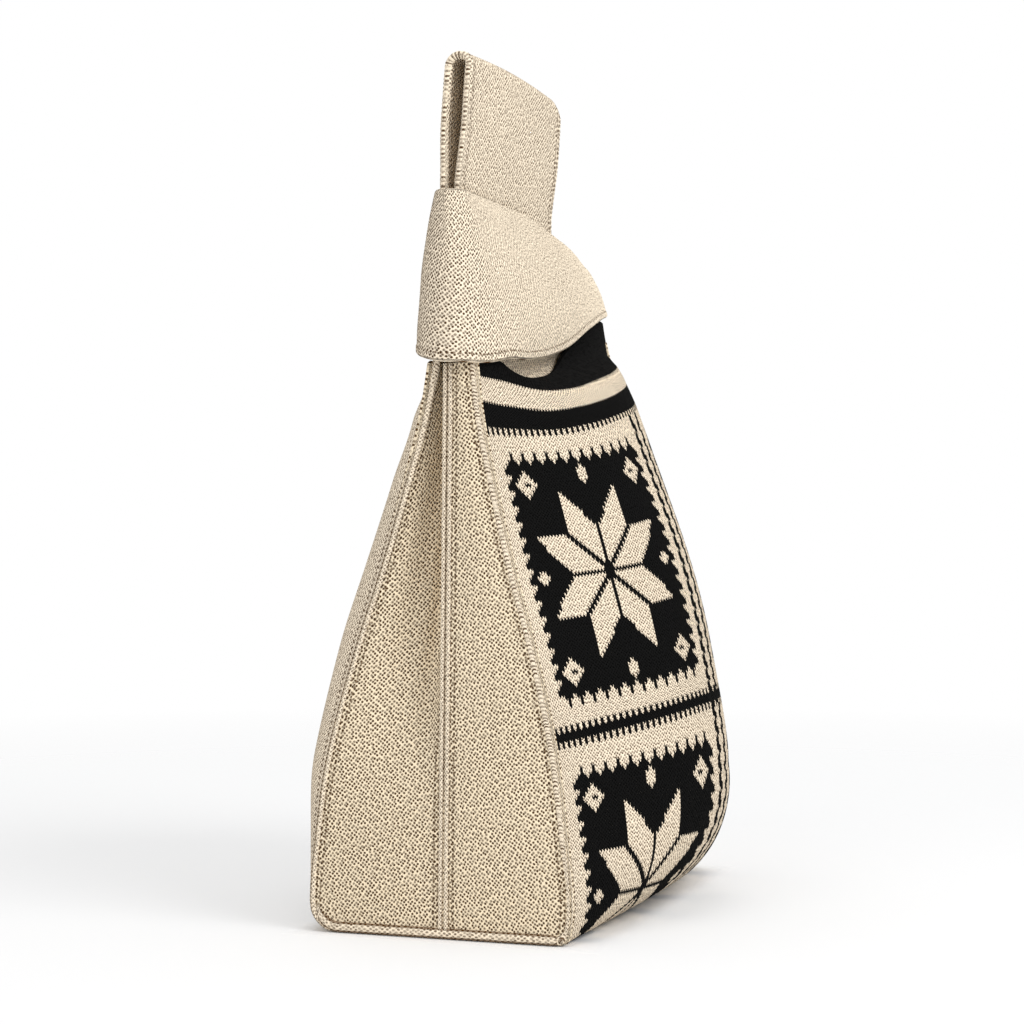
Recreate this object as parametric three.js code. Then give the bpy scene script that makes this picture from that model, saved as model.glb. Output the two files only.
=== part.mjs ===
// Knitted knot bag, millimetres, +Z up, origin at the centre of its footprint on the ground.
// X runs along the bag's width, Y along its depth: the patterned front faces -Y, the near gusset -X.
// One long strip makes the front, base and rear. Two pleated gussets close its sides. A wide long
// handle rises from the near side of the mouth, and the short handle lies round its neck as a collar.

import * as THREE from 'three';

// Fabric and the room between two sewn pieces
const fabric = 3;
const clearance = 0.3;
const sewnGap = 0.6;

// Body
const baseWidth = 210;
const neckWidth = 198;
const mouthHeight = 228;
const baseDepth = 109.5;
const neckDepth = 18;
const bellyBulge = 43.5;
const rearBulgeShare = 0.63;
const footBulge = 14;
const footRounding = 50;
const neckBulge = 11.4;
const nearGussetTop = 227.5;
const farGussetTop = 250;

// The middle plane through the handle lies behind the origin, because the front bulges more
const middlePlane = 3;

// The neck sits forward of the middle plane: how far, between which heights, and where it is back
const neckShift = 4.5;
const shiftStart = 60;
const shiftEnd = 266;

// Share of the way from neck depth to base depth, and of the belly's bulge, up the mouth's height
const depthShares = [[0, 0.96], [0.06, 1], [0.18, 0.95], [0.32, 0.85], [0.5, 0.625], [0.64, 0.41],
  [0.83, 0.155], [0.92, 0.055], [1, 0], [1.1, -0.06], [1.2, -0.075]];
const bulgeShares = [[0.184, 0.84], [0.22, 0.88], [0.3, 0.93], [0.58, 1], [0.7, 0.975], [0.83, 0.88],
  [0.94, 0.77], [1, 0.65], [1.1, 0.45]];

// How pointed the bulge is across the width, at the foot and above it
const footPoint = 0.7;
const wallPoint = 1.5;
const pointRise = 60;

// The rear panel wraps round its corners before it turns away
const rearWrap = 9;
const wrapLength = 4.5;
const wrapRise = 70;

// Seams and welts
const cornerSeamReach = fabric + clearance;
const seamRise = 0.9;
const centreSeamHalf = 1.6;
const centreSeamShift = -2;
const weltHeight = 4.4;
const weltWidth = 4.6;
const weltOverhang = 1.4;
const hemHeight = 3.6;
const hemRise = 0.35;

// Pleat in the rear half of each gusset, and the slight puff of its front half
const pleatDepth = 10;
const pleatStart = 78;
const gussetPuff = 1.8;

// Mouth line of the front and rear: its height at the near corner, in the dip and at the far side
const mouthTuck = 1.5;
const mouthDip = 8;
const mouthDipX = -50;
const mouthDipReach = 42;
const mouthTurnIn = 24;

// Long handle: a flat loop that leans towards the far side
const handleWidth = 116;
const handleNearX = -90.5;
const handleNearRootX = -80;
const handleWidens = 235;
const handleWide = 263;
const handleLeanStart = 300;
const handleLean = 0.19;
const handleRootHeight = 214;
const handleRootTaper = 12;
const pinchHalf = 4.4;
const loopHalf = 6.4;
const loopSpread = 13;
const loopTopNear = 354.5;
const loopTopFar = 352;
const handleHinge = 314;
const rollRadius = 5;
const rollGap = 0.6;
const handleHemWidth = 4;

// Short handle, lying round the long handle's neck as a collar
const collarCentreX = -13;
const collarNearX = -110;
const collarFarX = 84;
const collarSeat = 0.6;
const collarSquareness = 2.4;
const collarTopNearX = -99;
const collarTopHalf = 8.4;
const collarTop = 296;
const collarRearDrop = 9;
const collarShoulderX = 8;
const collarFarEdge = 13;
const collarLowNear = 228;
const collarLowFar = 258;
const collarLowStart = -70;
const collarLowEnd = 110;
const collarFullness = 1.7;
const shortTailNearX = 28;
const shortTailFarX = 80;
const shortTailRoot = 226;
const shortTailTop = 258;

// Yarn colours
const beige = 0xdecdb4;
const shadedBeige = 0xcbb898;
const black = 0x1b1a1c;

const group = new THREE.Group();

// Smooth value at a share along a short table of [share, value]
function along(table, share) {
  const last = table.length - 1;
  if (share <= table[0][0]) {
    return table[0][1];
  }
  if (share >= table[last][0]) {
    return table[last][1];
  }
  const i = table.findIndex((entry) => entry[0] > share) - 1;
  const slopeAt = (k) => {
    const before = table[Math.max(k - 1, 0)];
    const after = table[Math.min(k + 1, last)];
    return (after[1] - before[1]) / (after[0] - before[0]);
  };
  const [x0, y0] = table[i];
  const [x1, y1] = table[i + 1];
  const step = x1 - x0;
  const t = (share - x0) / step;
  const bend = t * t * (3 - 2 * t);
  const startTangent = slopeAt(i) * step * t * (1 - t) * (1 - t);
  const endTangent = slopeAt(i + 1) * step * t * t * (1 - t);
  return y0 + (y1 - y0) * bend + startTangent - endTangent;
}

function smooth(value, start, end) {
  return THREE.MathUtils.smoothstep(value, start, end);
}

function mix(a, b, share) {
  return a + (b - a) * share;
}

// Half width and half depth between the corner seams at height z, and the panels' bulge past them
function halfWidth(z) {
  return mix(baseWidth, neckWidth, Math.min(z / mouthHeight, 1)) / 2;
}

function halfDepth(z) {
  return mix(neckDepth, baseDepth, along(depthShares, z / mouthHeight)) / 2;
}

function bulge(z, side) {
  const belly = bellyBulge * (side > 0 ? rearBulgeShare : 1);
  if (z < footRounding) {
    const turned = 1 - z / footRounding;
    const full = belly * bulgeShares[0][1];
    return footBulge + (full - footBulge) * Math.sqrt(1 - turned * turned);
  }
  return belly * along(bulgeShares, z / mouthHeight);
}

// Share of the bulge across the width, where share runs from -1 to 1 between the corners
function roundness(share, z) {
  const point = mix(footPoint, wallPoint, smooth(z, 0, pointRise));
  return Math.cos(Math.PI / 2 * Math.min(Math.abs(share), 1)) ** point;
}

function wrap(x, z, side) {
  const inside = Math.max(halfWidth(z) - Math.abs(x), 0);
  const full = side > 0 ? rearWrap * smooth(z, 0, wrapRise) : 0;
  return full * (1 - Math.exp(-inside / wrapLength));
}

function shift(z) {
  const rise = (z - shiftStart) / (mouthHeight - shiftStart);
  const fall = (shiftEnd - z) / (shiftEnd - mouthHeight);
  return neckShift * THREE.MathUtils.clamp(Math.min(rise, fall), 0, 1);
}

// Height of the collar's lower edge along the width
function collarLow(x) {
  return mix(collarLowNear, collarLowFar, smooth(x, collarLowStart, collarLowEnd));
}

// Distance of a corner seam from the middle plane. side is -1 in front and 1 behind
function cornerReach(z, side) {
  return halfDepth(z) - side * shift(z);
}

// Distance of the neck's outer face from the middle plane, where the panel turns in under the collar
function neckReach(x, z, side) {
  const share = x / halfWidth(z);
  return halfDepth(z) - side * shift(z) * share * share + neckBulge * (1 - share * share);
}

// Distance of the front or rear panel's outer face from the middle plane
function panelReach(x, z, side) {
  const share = x / halfWidth(z);
  const body = cornerReach(z, side) + bulge(z, side) * roundness(share, z) + wrap(x, z, side);
  const turnEnd = collarLow(x);
  return mix(body, neckReach(x, z, side), smooth(z, turnEnd - mouthTurnIn, turnEnd));
}

function panelSlopeX(x, z, side) {
  const step = 0.5;
  return (panelReach(x + step, z, side) - panelReach(x - step, z, side)) / (2 * step);
}

function panelSlopeZ(x, z, side) {
  const step = Math.min(0.5, z / 2);
  return (panelReach(x, z + step, side) - panelReach(x, z - step, side)) / (2 * step);
}

// The inner face lies a fabric's thickness along the outer face's normal: found in a few rounds
const innerRounds = 4;

function panelInnerReach(x, z, side) {
  let inward = new THREE.Vector3(0, -fabric, 0);
  let reach = 0;
  for (let round = 0; round < innerRounds; round += 1) {
    const atX = x - inward.x;
    const atZ = z - inward.z;
    const slopeX = -panelSlopeX(atX, atZ, side);
    const slopeZ = -panelSlopeZ(atX, atZ, side);
    inward = new THREE.Vector3(slopeX, 1, slopeZ).normalize().multiplyScalar(-fabric);
    reach = panelReach(atX, atZ, side);
  }
  return reach + inward.y;
}

// Height of the mouth's edge along the width: tucked into the collar, but for the dip at the near side
function mouthLine(x) {
  const away = Math.min(Math.abs(x - mouthDipX) / mouthDipReach, 1);
  return collarLow(x) + mouthTuck - mouthDip * (1 + Math.cos(Math.PI * away)) / 2;
}

// A closed solid from its corner points and triangles, turned so that its faces point out
function closedSolid(points, triangles) {
  let volume = 0;
  for (const [a, b, c] of triangles) {
    volume += points[a].dot(points[b].clone().cross(points[c]));
  }
  const turned = volume < 0 ? triangles.map(([a, b, c]) => [a, c, b]) : triangles;
  const geometry = new THREE.BufferGeometry();
  const positions = points.flatMap((p) => [p.x, p.y, p.z]);
  geometry.setAttribute('position', new THREE.Float32BufferAttribute(positions, 3));
  geometry.setIndex(turned.flat());
  geometry.computeVertexNormals();
  return geometry;
}

// A sheet between two surfaces that share their u and v, both from 0 to 1
function sheetBetween(outer, inner, uCount, vCount) {
  const points = [];
  for (const surface of [outer, inner]) {
    for (let j = 0; j <= vCount; j += 1) {
      for (let i = 0; i <= uCount; i += 1) {
        points.push(surface(i / uCount, j / vCount));
      }
    }
  }
  const row = uCount + 1;
  const layer = row * (vCount + 1);
  const triangles = [];
  const quad = (a, b, c, d) => triangles.push([a, b, c], [a, c, d]);
  for (let j = 0; j < vCount; j += 1) {
    for (let i = 0; i < uCount; i += 1) {
      const k = j * row + i;
      quad(k, k + 1, k + 1 + row, k + row);
      quad(layer + k, layer + k + row, layer + k + 1 + row, layer + k + 1);
    }
  }
  for (let i = 0; i < uCount; i += 1) {
    const top = vCount * row + i;
    quad(i, layer + i, layer + i + 1, i + 1);
    quad(top, top + 1, layer + top + 1, layer + top);
  }
  for (let j = 0; j < vCount; j += 1) {
    const left = j * row;
    const right = left + uCount;
    quad(left, left + row, layer + left + row, layer + left);
    quad(right, layer + right, layer + right + row, right + row);
  }
  return closedSolid(points, triangles);
}

// A sheet of even thickness under a surface, with its outer face raised by rise
function sheetUnder(surface, side, uCount, vCount, rise = 0) {
  const step = 1e-3;
  const normalAt = (u, v) => {
    const u0 = Math.max(u - step, 0);
    const v0 = Math.max(v - step, 0);
    const along1 = surface(Math.min(u + step, 1), v).sub(surface(u0, v));
    const along2 = surface(u, Math.min(v + step, 1)).sub(surface(u, v0));
    return along1.cross(along2).normalize().multiplyScalar(side);
  };
  const outer = (u, v) => surface(u, v).addScaledVector(normalAt(u, v), rise);
  const inner = (u, v) => surface(u, v).addScaledVector(normalAt(u, v), -fabric);
  return sheetBetween(outer, inner, uCount, vCount);
}

// A strip with the same many-sided section all along, given ring by ring
function stripOfRings(rings) {
  const sides = rings[0].length;
  const points = rings.flat();
  const triangles = [];
  for (let j = 0; j + 1 < rings.length; j += 1) {
    for (let i = 0; i < sides; i += 1) {
      const a = j * sides + i;
      const b = j * sides + (i + 1) % sides;
      triangles.push([a, b, b + sides], [a, b + sides, a + sides]);
    }
  }
  const capRing = (ring, first, turned) => {
    const centre = new THREE.Vector3();
    ring.forEach((p) => centre.addScaledVector(p, 1 / sides));
    const hub = points.push(centre) - 1;
    for (let i = 0; i < sides; i += 1) {
      const a = first + i;
      const b = first + (i + 1) % sides;
      triangles.push(turned ? [hub, b, a] : [hub, a, b]);
    }
  };
  capRing(rings[0], 0, true);
  capRing(rings.at(-1), (rings.length - 1) * sides, false);
  return closedSolid(points, triangles);
}

function add(name, geometry, colour) {
  geometry.translate(0, middlePlane, 0);
  const material = new THREE.MeshStandardMaterial({ color: colour, roughness: 0.95, metalness: 0 });
  const mesh = new THREE.Mesh(geometry, material);
  mesh.name = name;
  group.add(mesh);
}

// Slope of a panel where it meets a corner seam, and the half width left between the two seams
function cornerFlare(z, side) {
  const edge = halfWidth(z);
  const rise = panelReach(edge - cornerSeamReach, z, side) - panelReach(edge, z, side);
  return Math.max(rise / cornerSeamReach, 0);
}

function panelHalfSpan(z, side) {
  return halfWidth(z) - cornerSeamReach / Math.hypot(1, cornerFlare(z, side));
}

// Front and rear panels, with their mouth hems. side is -1 in front and 1 behind
const columnShares = [0, 0.13, 0.27, 0.4, 0.53, 0.64, 0.74, 0.83, 0.9, 0.945, 0.975, 1];
const halfColumns = columnShares.length - 1;
const panelColumns = 2 * halfColumns;
const footHeights = [0.4, 1.5, 4, 9, 17, 28, 44];
const wallShares = [0, 0.16, 0.32, 0.48, 0.64, 0.8, 1];
const turnShares = [0, 0.2, 0.4, 0.6, 0.8, 1];
const foldRise = footHeights[0];
const leastRise = 0.3;
const panelRows = footHeights.length + wallShares.length + turnShares.length - 3;

// A column's place across the width, from -1 to 1: the columns lie closer at the corners
function columnShare(u) {
  const fromMiddle = 2 * u - 1;
  const place = Math.abs(fromMiddle) * halfColumns;
  const i = Math.min(Math.floor(place), halfColumns - 1);
  return Math.sign(fromMiddle) * mix(columnShares[i], columnShares[i + 1], place - i);
}

// Heights of a panel's rows: round the foot, up the wall, and across the turn under the collar
function panelHeight(row, x) {
  const wall = row - footHeights.length + 1;
  if (wall < 0) {
    return footHeights[row];
  }
  const turnStart = collarLow(x) - mouthTurnIn;
  const turn = wall - wallShares.length + 1;
  if (turn < 0) {
    return mix(footHeights.at(-1), turnStart, wallShares[wall]);
  }
  return mix(turnStart, mouthLine(x) - hemHeight - clearance, turnShares[turn]);
}

// The fold is a mitre where the panel stands up at its corners, and square where it lies flat
const foldSharpness = 4;

function foldShift(x) {
  const share = x / halfWidth(0);
  return fabric * share ** foldSharpness;
}

function addPanel(name, side) {
  const place = (u, v) => {
    const share = columnShare(u);
    const z = panelHeight(Math.round(v * panelRows), share * panelHalfSpan(mouthHeight, side));
    return [share * panelHalfSpan(z, side), z];
  };
  const outer = (u, v) => {
    const [x, z] = place(u, v);
    return new THREE.Vector3(x, side * panelReach(x, z, side), z);
  };
  const inner = (u, v) => {
    const [x, z] = place(u, v);
    const reach = panelReach(x, z, side);
    if (v === 0) {
      return new THREE.Vector3(x, side * (reach - foldShift(x)), z + fabric);
    }
    const slopeX = -panelSlopeX(x, z, side);
    const slopeZ = -panelSlopeZ(x, z, side);
    const inward = new THREE.Vector3(slopeX, 1, slopeZ).normalize().multiplyScalar(-fabric);
    const least = foldRise + fabric + leastRise * v * panelRows;
    return new THREE.Vector3(x + inward.x, side * (reach + inward.y), Math.max(z + inward.z, least));
  };
  add(name, sheetBetween(outer, inner, panelColumns, panelRows), black);
}

function addMouthHem(name, side) {
  const surface = (u, v) => {
    const x = columnShare(u) * panelHalfSpan(mouthHeight, side);
    const z = mouthLine(x) - hemHeight * (1 - v);
    return new THREE.Vector3(x, side * panelReach(x, z, side), z);
  };
  add(name, sheetUnder(surface, -side, panelColumns, 1), black);
}

addPanel('front_panel', -1);
addPanel('rear_panel', 1);
addMouthHem('front_mouth_hem', -1);
addMouthHem('rear_mouth_hem', 1);

// Base: the same strip lying flat between the two lower folds
const baseRows = 4;

function addBase() {
  const reach = baseWidth / 2 - weltWidth + weltOverhang - clearance;
  const edge = (u, v, top) => {
    const x = columnShare(u) * reach;
    const side = v < 1 / 2 ? -1 : 1;
    const gap = clearance * (1 - (x / halfWidth(0)) ** foldSharpness);
    const y = panelReach(x, foldRise, side) - gap - (top ? foldShift(x) : 0);
    return new THREE.Vector3(x, (2 * v - 1) * y, top ? fabric : 0);
  };
  const lower = (u, v) => edge(u, v, false);
  const upper = (u, v) => edge(u, v, true);
  add('base_panel', sheetBetween(lower, upper, panelColumns, baseRows), black);
}

addBase();

// Gussets. end is -1 at the near side and 1 at the far side
const gussetRows = 14;
const gussetColumns = 6;
const puffFullDepth = 50;
const steepestThickness = 2;
const gussetFoot = weltHeight + clearance;

function pleat(z, top) {
  return pleatDepth * smooth(z, pleatStart, top);
}

function addGussetHalf(name, end, side, top) {
  const foot = gussetFoot;
  const span = (z) => {
    const start = side * centreSeamShift + centreSeamHalf + clearance;
    return [start, cornerReach(z, side) - cornerSeamReach];
  };
  const shape = (v) => Math.sin(Math.PI * v);
  const puff = (z) => gussetPuff * Math.min(halfDepth(z) / puffFullDepth, 1);
  const inset = (v, z) => (side > 0 ? pleat(z, top) : -puff(z)) * shape(v);
  const outer = (u, v) => {
    const z = mix(foot, top, u);
    const [start, finish] = span(z);
    const x = halfWidth(z) - inset(v, z);
    return new THREE.Vector3(end * x, side * mix(start, finish, v), z);
  };
  const inner = (u, v) => {
    const z = mix(foot, top, u);
    const [start, finish] = span(z);
    const steep = inset(1 / 2, z) * Math.PI * Math.cos(Math.PI * v) / (finish - start);
    const thick = fabric * Math.min(Math.sqrt(1 + steep * steep), steepestThickness);
    const p = outer(u, v);
    p.x -= end * thick;
    return p;
  };
  add(name, sheetBetween(outer, inner, gussetRows, gussetColumns), side > 0 ? shadedBeige : beige);
}

// Centre seam: two ridges with a groove between them, narrower at its back
const ridgeShare = 0.6;
const seamBackShare = 0.85;

function addCentreSeam(name, end, top) {
  const rings = [];
  for (let j = 0; j <= gussetRows; j += 1) {
    const z = mix(gussetFoot, top, j / gussetRows);
    const half = centreSeamHalf;
    const depth = fabric - clearance;
    const ridge = half * ridgeShare;
    const back = half * seamBackShare;
    const section = [[0, -half], [seamRise, -ridge], [seamRise / 2, 0], [seamRise, ridge],
      [0, half], [-depth, back], [-depth, -back]];
    rings.push(section.map(([out, y]) => (
      new THREE.Vector3(end * (halfWidth(z) + out), centreSeamShift + y, z))));
  }
  add(name, stripOfRings(rings), beige);
}

// Corner seam: a ridged wedge between a panel's end and a gusset's edge, hollowed behind
const seamRows = 22;
const seamCrowding = 1.3;
const seamHollow = 0.45;
const seamShoulder = 0.3;

function addCornerSeam(name, end, side, top) {
  const rings = [];
  for (let j = 0; j <= seamRows; j += 1) {
    const z = mix(foldRise, top, (j / seamRows) ** seamCrowding);
    const corner = new THREE.Vector2(halfWidth(z), cornerReach(z, side));
    const alongPanel = new THREE.Vector2(-1, cornerFlare(z, side)).normalize();
    const alongGusset = new THREE.Vector2(0, -1);
    const reach = cornerSeamReach - clearance;
    const panelEnd = corner.clone().addScaledVector(alongPanel, reach);
    const gussetEnd = corner.clone().addScaledVector(alongGusset, reach);
    const inward = new THREE.Vector2(-alongPanel.y, alongPanel.x);
    const panelInner = panelEnd.clone().addScaledVector(inward, fabric);
    const gussetInner = gussetEnd.clone().add(new THREE.Vector2(-fabric, 0));
    const middle = panelInner.add(gussetInner).multiplyScalar(0.5);
    const apex = middle.lerp(corner, seamHollow);
    const outward = corner.clone().sub(apex).normalize();
    const ridge = corner.clone().addScaledVector(outward, seamRise);
    const besidePanel = ridge.clone().lerp(panelEnd, 0.5).addScaledVector(outward, seamShoulder);
    const besideGusset = ridge.clone().lerp(gussetEnd, 0.5).addScaledVector(outward, seamShoulder);
    const section = [panelEnd, besidePanel, ridge, besideGusset, gussetEnd, apex];
    rings.push(section.map((p) => new THREE.Vector3(end * p.x, side * p.y, z)));
  }
  add(name, stripOfRings(rings), beige);
}

// Rolled welt along the gusset's foot, flat where it stands
const weltRound = 1.2;
const weltShares = [-1, -0.5, 0, 0.5, 1];

function addWelt(name, end) {
  const outerX = baseWidth / 2 + weltOverhang;
  const innerX = outerX - weltWidth;
  const shoulderX = outerX - weltRound;
  const section = [[innerX, 0], [shoulderX, 0], [outerX, weltRound], [outerX, weltHeight - weltRound],
    [shoulderX, weltHeight], [innerX, weltHeight]];
  const reach = halfDepth(0) - cornerSeamReach - clearance / 2;
  const rings = weltShares.map((share) => (
    section.map(([x, z]) => new THREE.Vector3(end * x, share * reach, z))));
  add(name, stripOfRings(rings), beige);
}

for (const [word, end, top] of [['near', -1, nearGussetTop], ['far', 1, farGussetTop]]) {
  addGussetHalf(`${word}_gusset_front_half`, end, -1, top);
  addGussetHalf(`${word}_gusset_rear_half`, end, 1, top);
  addCentreSeam(`${word}_gusset_centre_seam`, end, top);
  addCornerSeam(`${word}_front_corner_seam`, end, -1, top);
  addCornerSeam(`${word}_rear_corner_seam`, end, 1, top);
  addWelt(`${word}_base_welt`, end);
}

// Long handle: near edge and far edge of its strip at height z
function handleNear(z) {
  const waist = mix(handleNearRootX, handleNearX, smooth(z, handleWidens, handleWide));
  return waist + handleLean * Math.max(z - handleLeanStart, 0);
}

function handleFar(z) {
  const root = handleRootTaper * (1 - smooth(z, handleRootHeight, handleLeanStart));
  return handleNearX + handleWidth - root + handleLean * Math.max(z - handleLeanStart, 0);
}

// Distance of the handle's outer face from the middle plane, below the hinge roll
function tailReach(x, z, side) {
  const leave = collarLow(x);
  const sewn = panelInnerReach(x, Math.min(z, leave), side) - sewnGap;
  return mix(sewn, pinchHalf, smooth(z, leave, collarTop));
}

// The two sewn ends rise through the collar and stop round the roll that the loop turns on
const tailColumns = 12;
const tailRows = 16;

function addHandleTail(name, side) {
  const rollClear = rollRadius + rollGap;
  const topAt = (y) => handleHinge - Math.sqrt(rollClear * rollClear - y * y);
  const pinchInner = pinchHalf - fabric;
  const place = (u, v, reachTop) => {
    const z = mix(handleRootHeight, topAt(reachTop), v);
    return [mix(handleNear(z), handleFar(z), u), z];
  };
  const outer = (u, v) => {
    const [x, z] = place(u, v, pinchHalf);
    return new THREE.Vector3(x, side * tailReach(x, z, side), z);
  };
  const inner = (u, v) => {
    const [x, z] = place(u, v, pinchInner);
    return new THREE.Vector3(x, side * (tailReach(x, z, side) - fabric), z);
  };
  add(name, sheetBetween(outer, inner, tailColumns, tailRows), shadedBeige);
}

addHandleTail('long_handle_front_tail', -1);
addHandleTail('long_handle_rear_tail', 1);

// The folded loop's section at one place along its width, as matching outer and inner outlines.
// share runs from the front lip over the fold to the rear lip
const loopStraightShare = 0.7;
const loopSegments = 36;
const columnsAcrossHandle = 5;

function loopPoint(share, foldTop, half, roll) {
  const turn = Math.PI / 2;
  const spreadStart = handleHinge;
  const rise = 2 * Math.min(share, 1 - share);
  const side = share < 0.5 ? -1 : 1;
  const lip = spreadStart - Math.sqrt(roll * roll - (half - loopHalf + pinchHalf) ** 2);
  const straight = foldTop - loopHalf;
  if (rise < loopStraightShare) {
    const z = mix(lip, straight, rise / loopStraightShare);
    const y = half - (loopHalf - pinchHalf) * (1 - smooth(z, spreadStart, spreadStart + loopSpread));
    return [side * y, z];
  }
  const angle = turn * (rise - loopStraightShare) / (1 - loopStraightShare);
  return [side * half * Math.cos(angle), straight + half * Math.sin(angle)];
}

function addLoopStrip(name, from, to, rise, colour) {
  const columns = Math.ceil((to - from) * columnsAcrossHandle);
  const surface = (half) => (u, v) => {
    const across = mix(from, to, v);
    const foldTop = mix(loopTopNear, loopTopFar, across);
    const [y, z] = loopPoint(u, foldTop, half, rollRadius);
    const near = handleNearX + handleLean * Math.max(z - handleLeanStart, 0);
    return new THREE.Vector3(near + across * handleWidth, y, z);
  };
  const outer = surface(loopHalf + rise);
  const inner = surface(loopHalf - fabric - rise);
  add(name, sheetBetween(outer, inner, loopSegments, columns), colour);
}

const hemShare = handleHemWidth / handleWidth;
const hemGap = clearance / handleWidth;
addLoopStrip('long_handle_loop', hemShare + hemGap, 1 - hemShare - hemGap, 0, beige);
addLoopStrip('long_handle_near_hem', 0, hemShare, hemRise, beige);
addLoopStrip('long_handle_far_hem', 1 - hemShare, 1, hemRise, beige);

// Collar: t runs from the front's far end (-1) round the near end (0) to the rear's far end (1)
const collarTurnShare = 0.45;
const collarSegments = 48;
const collarRows = 8;

// The rounded near end of a plan, from its tip to where it is widest
function nearEnd(way, centre, tip, half, squareness) {
  const angle = (Math.PI / 2) * way / collarTurnShare;
  const power = 2 / squareness;
  return [centre - (centre - tip) * Math.cos(angle) ** power, half * Math.sin(angle) ** power];
}

function collarLowPlan(t) {
  const side = Math.sign(t) || 1;
  const way = Math.abs(t);
  const seat = fabric + collarSeat;
  if (way < collarTurnShare) {
    const half = neckReach(collarCentreX, collarLow(collarCentreX), side) + seat;
    const [x, y] = nearEnd(way, collarCentreX, collarNearX, half, collarSquareness);
    const out = (collarCentreX - x) / (collarCentreX - collarNearX);
    return [x, side * y - neckShift * out * out];
  }
  const x = mix(collarCentreX, collarFarX, (way - collarTurnShare) / (1 - collarTurnShare));
  return [x, side * (neckReach(x, collarLow(x), side) + seat)];
}

function collarTopPlan(t) {
  const side = Math.sign(t) || 1;
  const way = Math.abs(t);
  const centre = collarTopNearX + collarTopHalf;
  if (way < collarTurnShare) {
    const [x, y] = nearEnd(way, centre, collarTopNearX, collarTopHalf, 2);
    return [x, side * y];
  }
  const x = mix(centre, collarFarX, (way - collarTurnShare) / (1 - collarTurnShare));
  return [x, side * collarTopHalf];
}

function collarHigh(x, t) {
  const share = Math.max(x - collarShoulderX, 0) / (collarFarX - collarShoulderX);
  const farTop = collarLow(collarFarX) + collarFarEdge;
  const top = mix(farTop, collarTop, Math.sqrt(Math.max(1 - share * share, 0)));
  return top - collarRearDrop * smooth(t, 0, 2 * collarTurnShare) * (1 - share);
}

function collarSurface(t, heightAt) {
  const [lowX, lowY] = collarLowPlan(t);
  const [highX, highY] = collarTopPlan(t);
  const bottom = collarLow(lowX);
  const top = collarHigh(highX, t);
  const z = heightAt(bottom, top);
  const share = (z - bottom) / (top - bottom);
  const out = 1 - share ** collarFullness;
  return new THREE.Vector3(mix(highX, lowX, out), mix(highY, lowY, out), z);
}

function addCollarStrip(name, heightAt, rows, rise, colour) {
  const surface = (u, v) => collarSurface(2 * u - 1, (bottom, top) => heightAt(bottom, top, v));
  add(name, sheetUnder(surface, -1, collarSegments, rows, rise), colour);
}

const collarHemTop = hemHeight + clearance;
addCollarStrip('short_handle_collar', (bottom, top, v) => (
  mix(bottom + collarHemTop, top - collarHemTop, v)), collarRows, 0, beige);
addCollarStrip('short_handle_lower_hem', (bottom, top, v) => (
  mix(bottom, bottom + hemHeight, v)), 1, hemRise, beige);
addCollarStrip('short_handle_upper_hem', (bottom, top, v) => (
  mix(top - hemHeight, top, v)), 1, 0, beige);

// The short handle's sewn ends, inside the far part of the mouth
const shortTailColumns = 10;
const shortTailRows = 6;

function addShortTail(name, side) {
  const reach = (x, z) => panelInnerReach(x, Math.min(z, mouthLine(x)), side) - sewnGap;
  const surface = (drop) => (u, v) => {
    const x = mix(shortTailNearX, shortTailFarX, u);
    const z = mix(shortTailRoot, shortTailTop, v);
    return new THREE.Vector3(x, side * (reach(x, z) - drop), z);
  };
  add(name, sheetBetween(surface(0), surface(fabric), shortTailColumns, shortTailRows), shadedBeige);
}

addShortTail('short_handle_front_tail', -1);
addShortTail('short_handle_rear_tail', 1);

export default group;
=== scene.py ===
import math

import bpy
import numpy as np
from mathutils import Matrix, Vector


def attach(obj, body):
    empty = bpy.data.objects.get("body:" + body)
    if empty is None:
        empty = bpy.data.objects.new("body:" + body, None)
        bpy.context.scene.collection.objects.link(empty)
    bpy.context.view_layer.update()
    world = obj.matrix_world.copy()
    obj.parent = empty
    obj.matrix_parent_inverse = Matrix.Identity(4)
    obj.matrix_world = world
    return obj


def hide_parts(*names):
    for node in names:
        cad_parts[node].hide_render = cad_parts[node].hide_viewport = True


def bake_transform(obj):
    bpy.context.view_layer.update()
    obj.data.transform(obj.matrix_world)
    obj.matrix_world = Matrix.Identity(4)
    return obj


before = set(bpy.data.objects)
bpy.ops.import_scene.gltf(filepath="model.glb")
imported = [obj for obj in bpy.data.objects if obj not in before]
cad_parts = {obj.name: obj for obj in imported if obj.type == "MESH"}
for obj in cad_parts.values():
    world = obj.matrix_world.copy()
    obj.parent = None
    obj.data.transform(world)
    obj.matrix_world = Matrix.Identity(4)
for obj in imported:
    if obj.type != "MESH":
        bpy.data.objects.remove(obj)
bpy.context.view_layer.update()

MM = 0.001

# Sizes in millimetres, as in the CAD source. Forms are worked out about y = 0, and Patches.build moves
# them back to the middle plane
FABRIC, SEWN_GAP = 3.0, 0.6
MIDDLE_PLANE = 3.0
BASE_WIDTH, NECK_WIDTH, MOUTH_HEIGHT = 210.0, 198.0, 228.0
BASE_DEPTH, NECK_DEPTH = 109.5, 18.0
BELLY_BULGE, REAR_BULGE_SHARE, NECK_BULGE = 43.5, 0.63, 11.4
NEAR_GUSSET_TOP, FAR_GUSSET_TOP = 227.5, 250.0
NECK_SHIFT, SHIFT_START, SHIFT_END = 4.5, 60.0, 266.0
DEPTH_SHARES = [(0, 0.96), (0.06, 1), (0.18, 0.95), (0.32, 0.85), (0.5, 0.625), (0.64, 0.41),
                (0.83, 0.155), (0.92, 0.055), (1, 0), (1.1, -0.06), (1.2, -0.075)]
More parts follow.
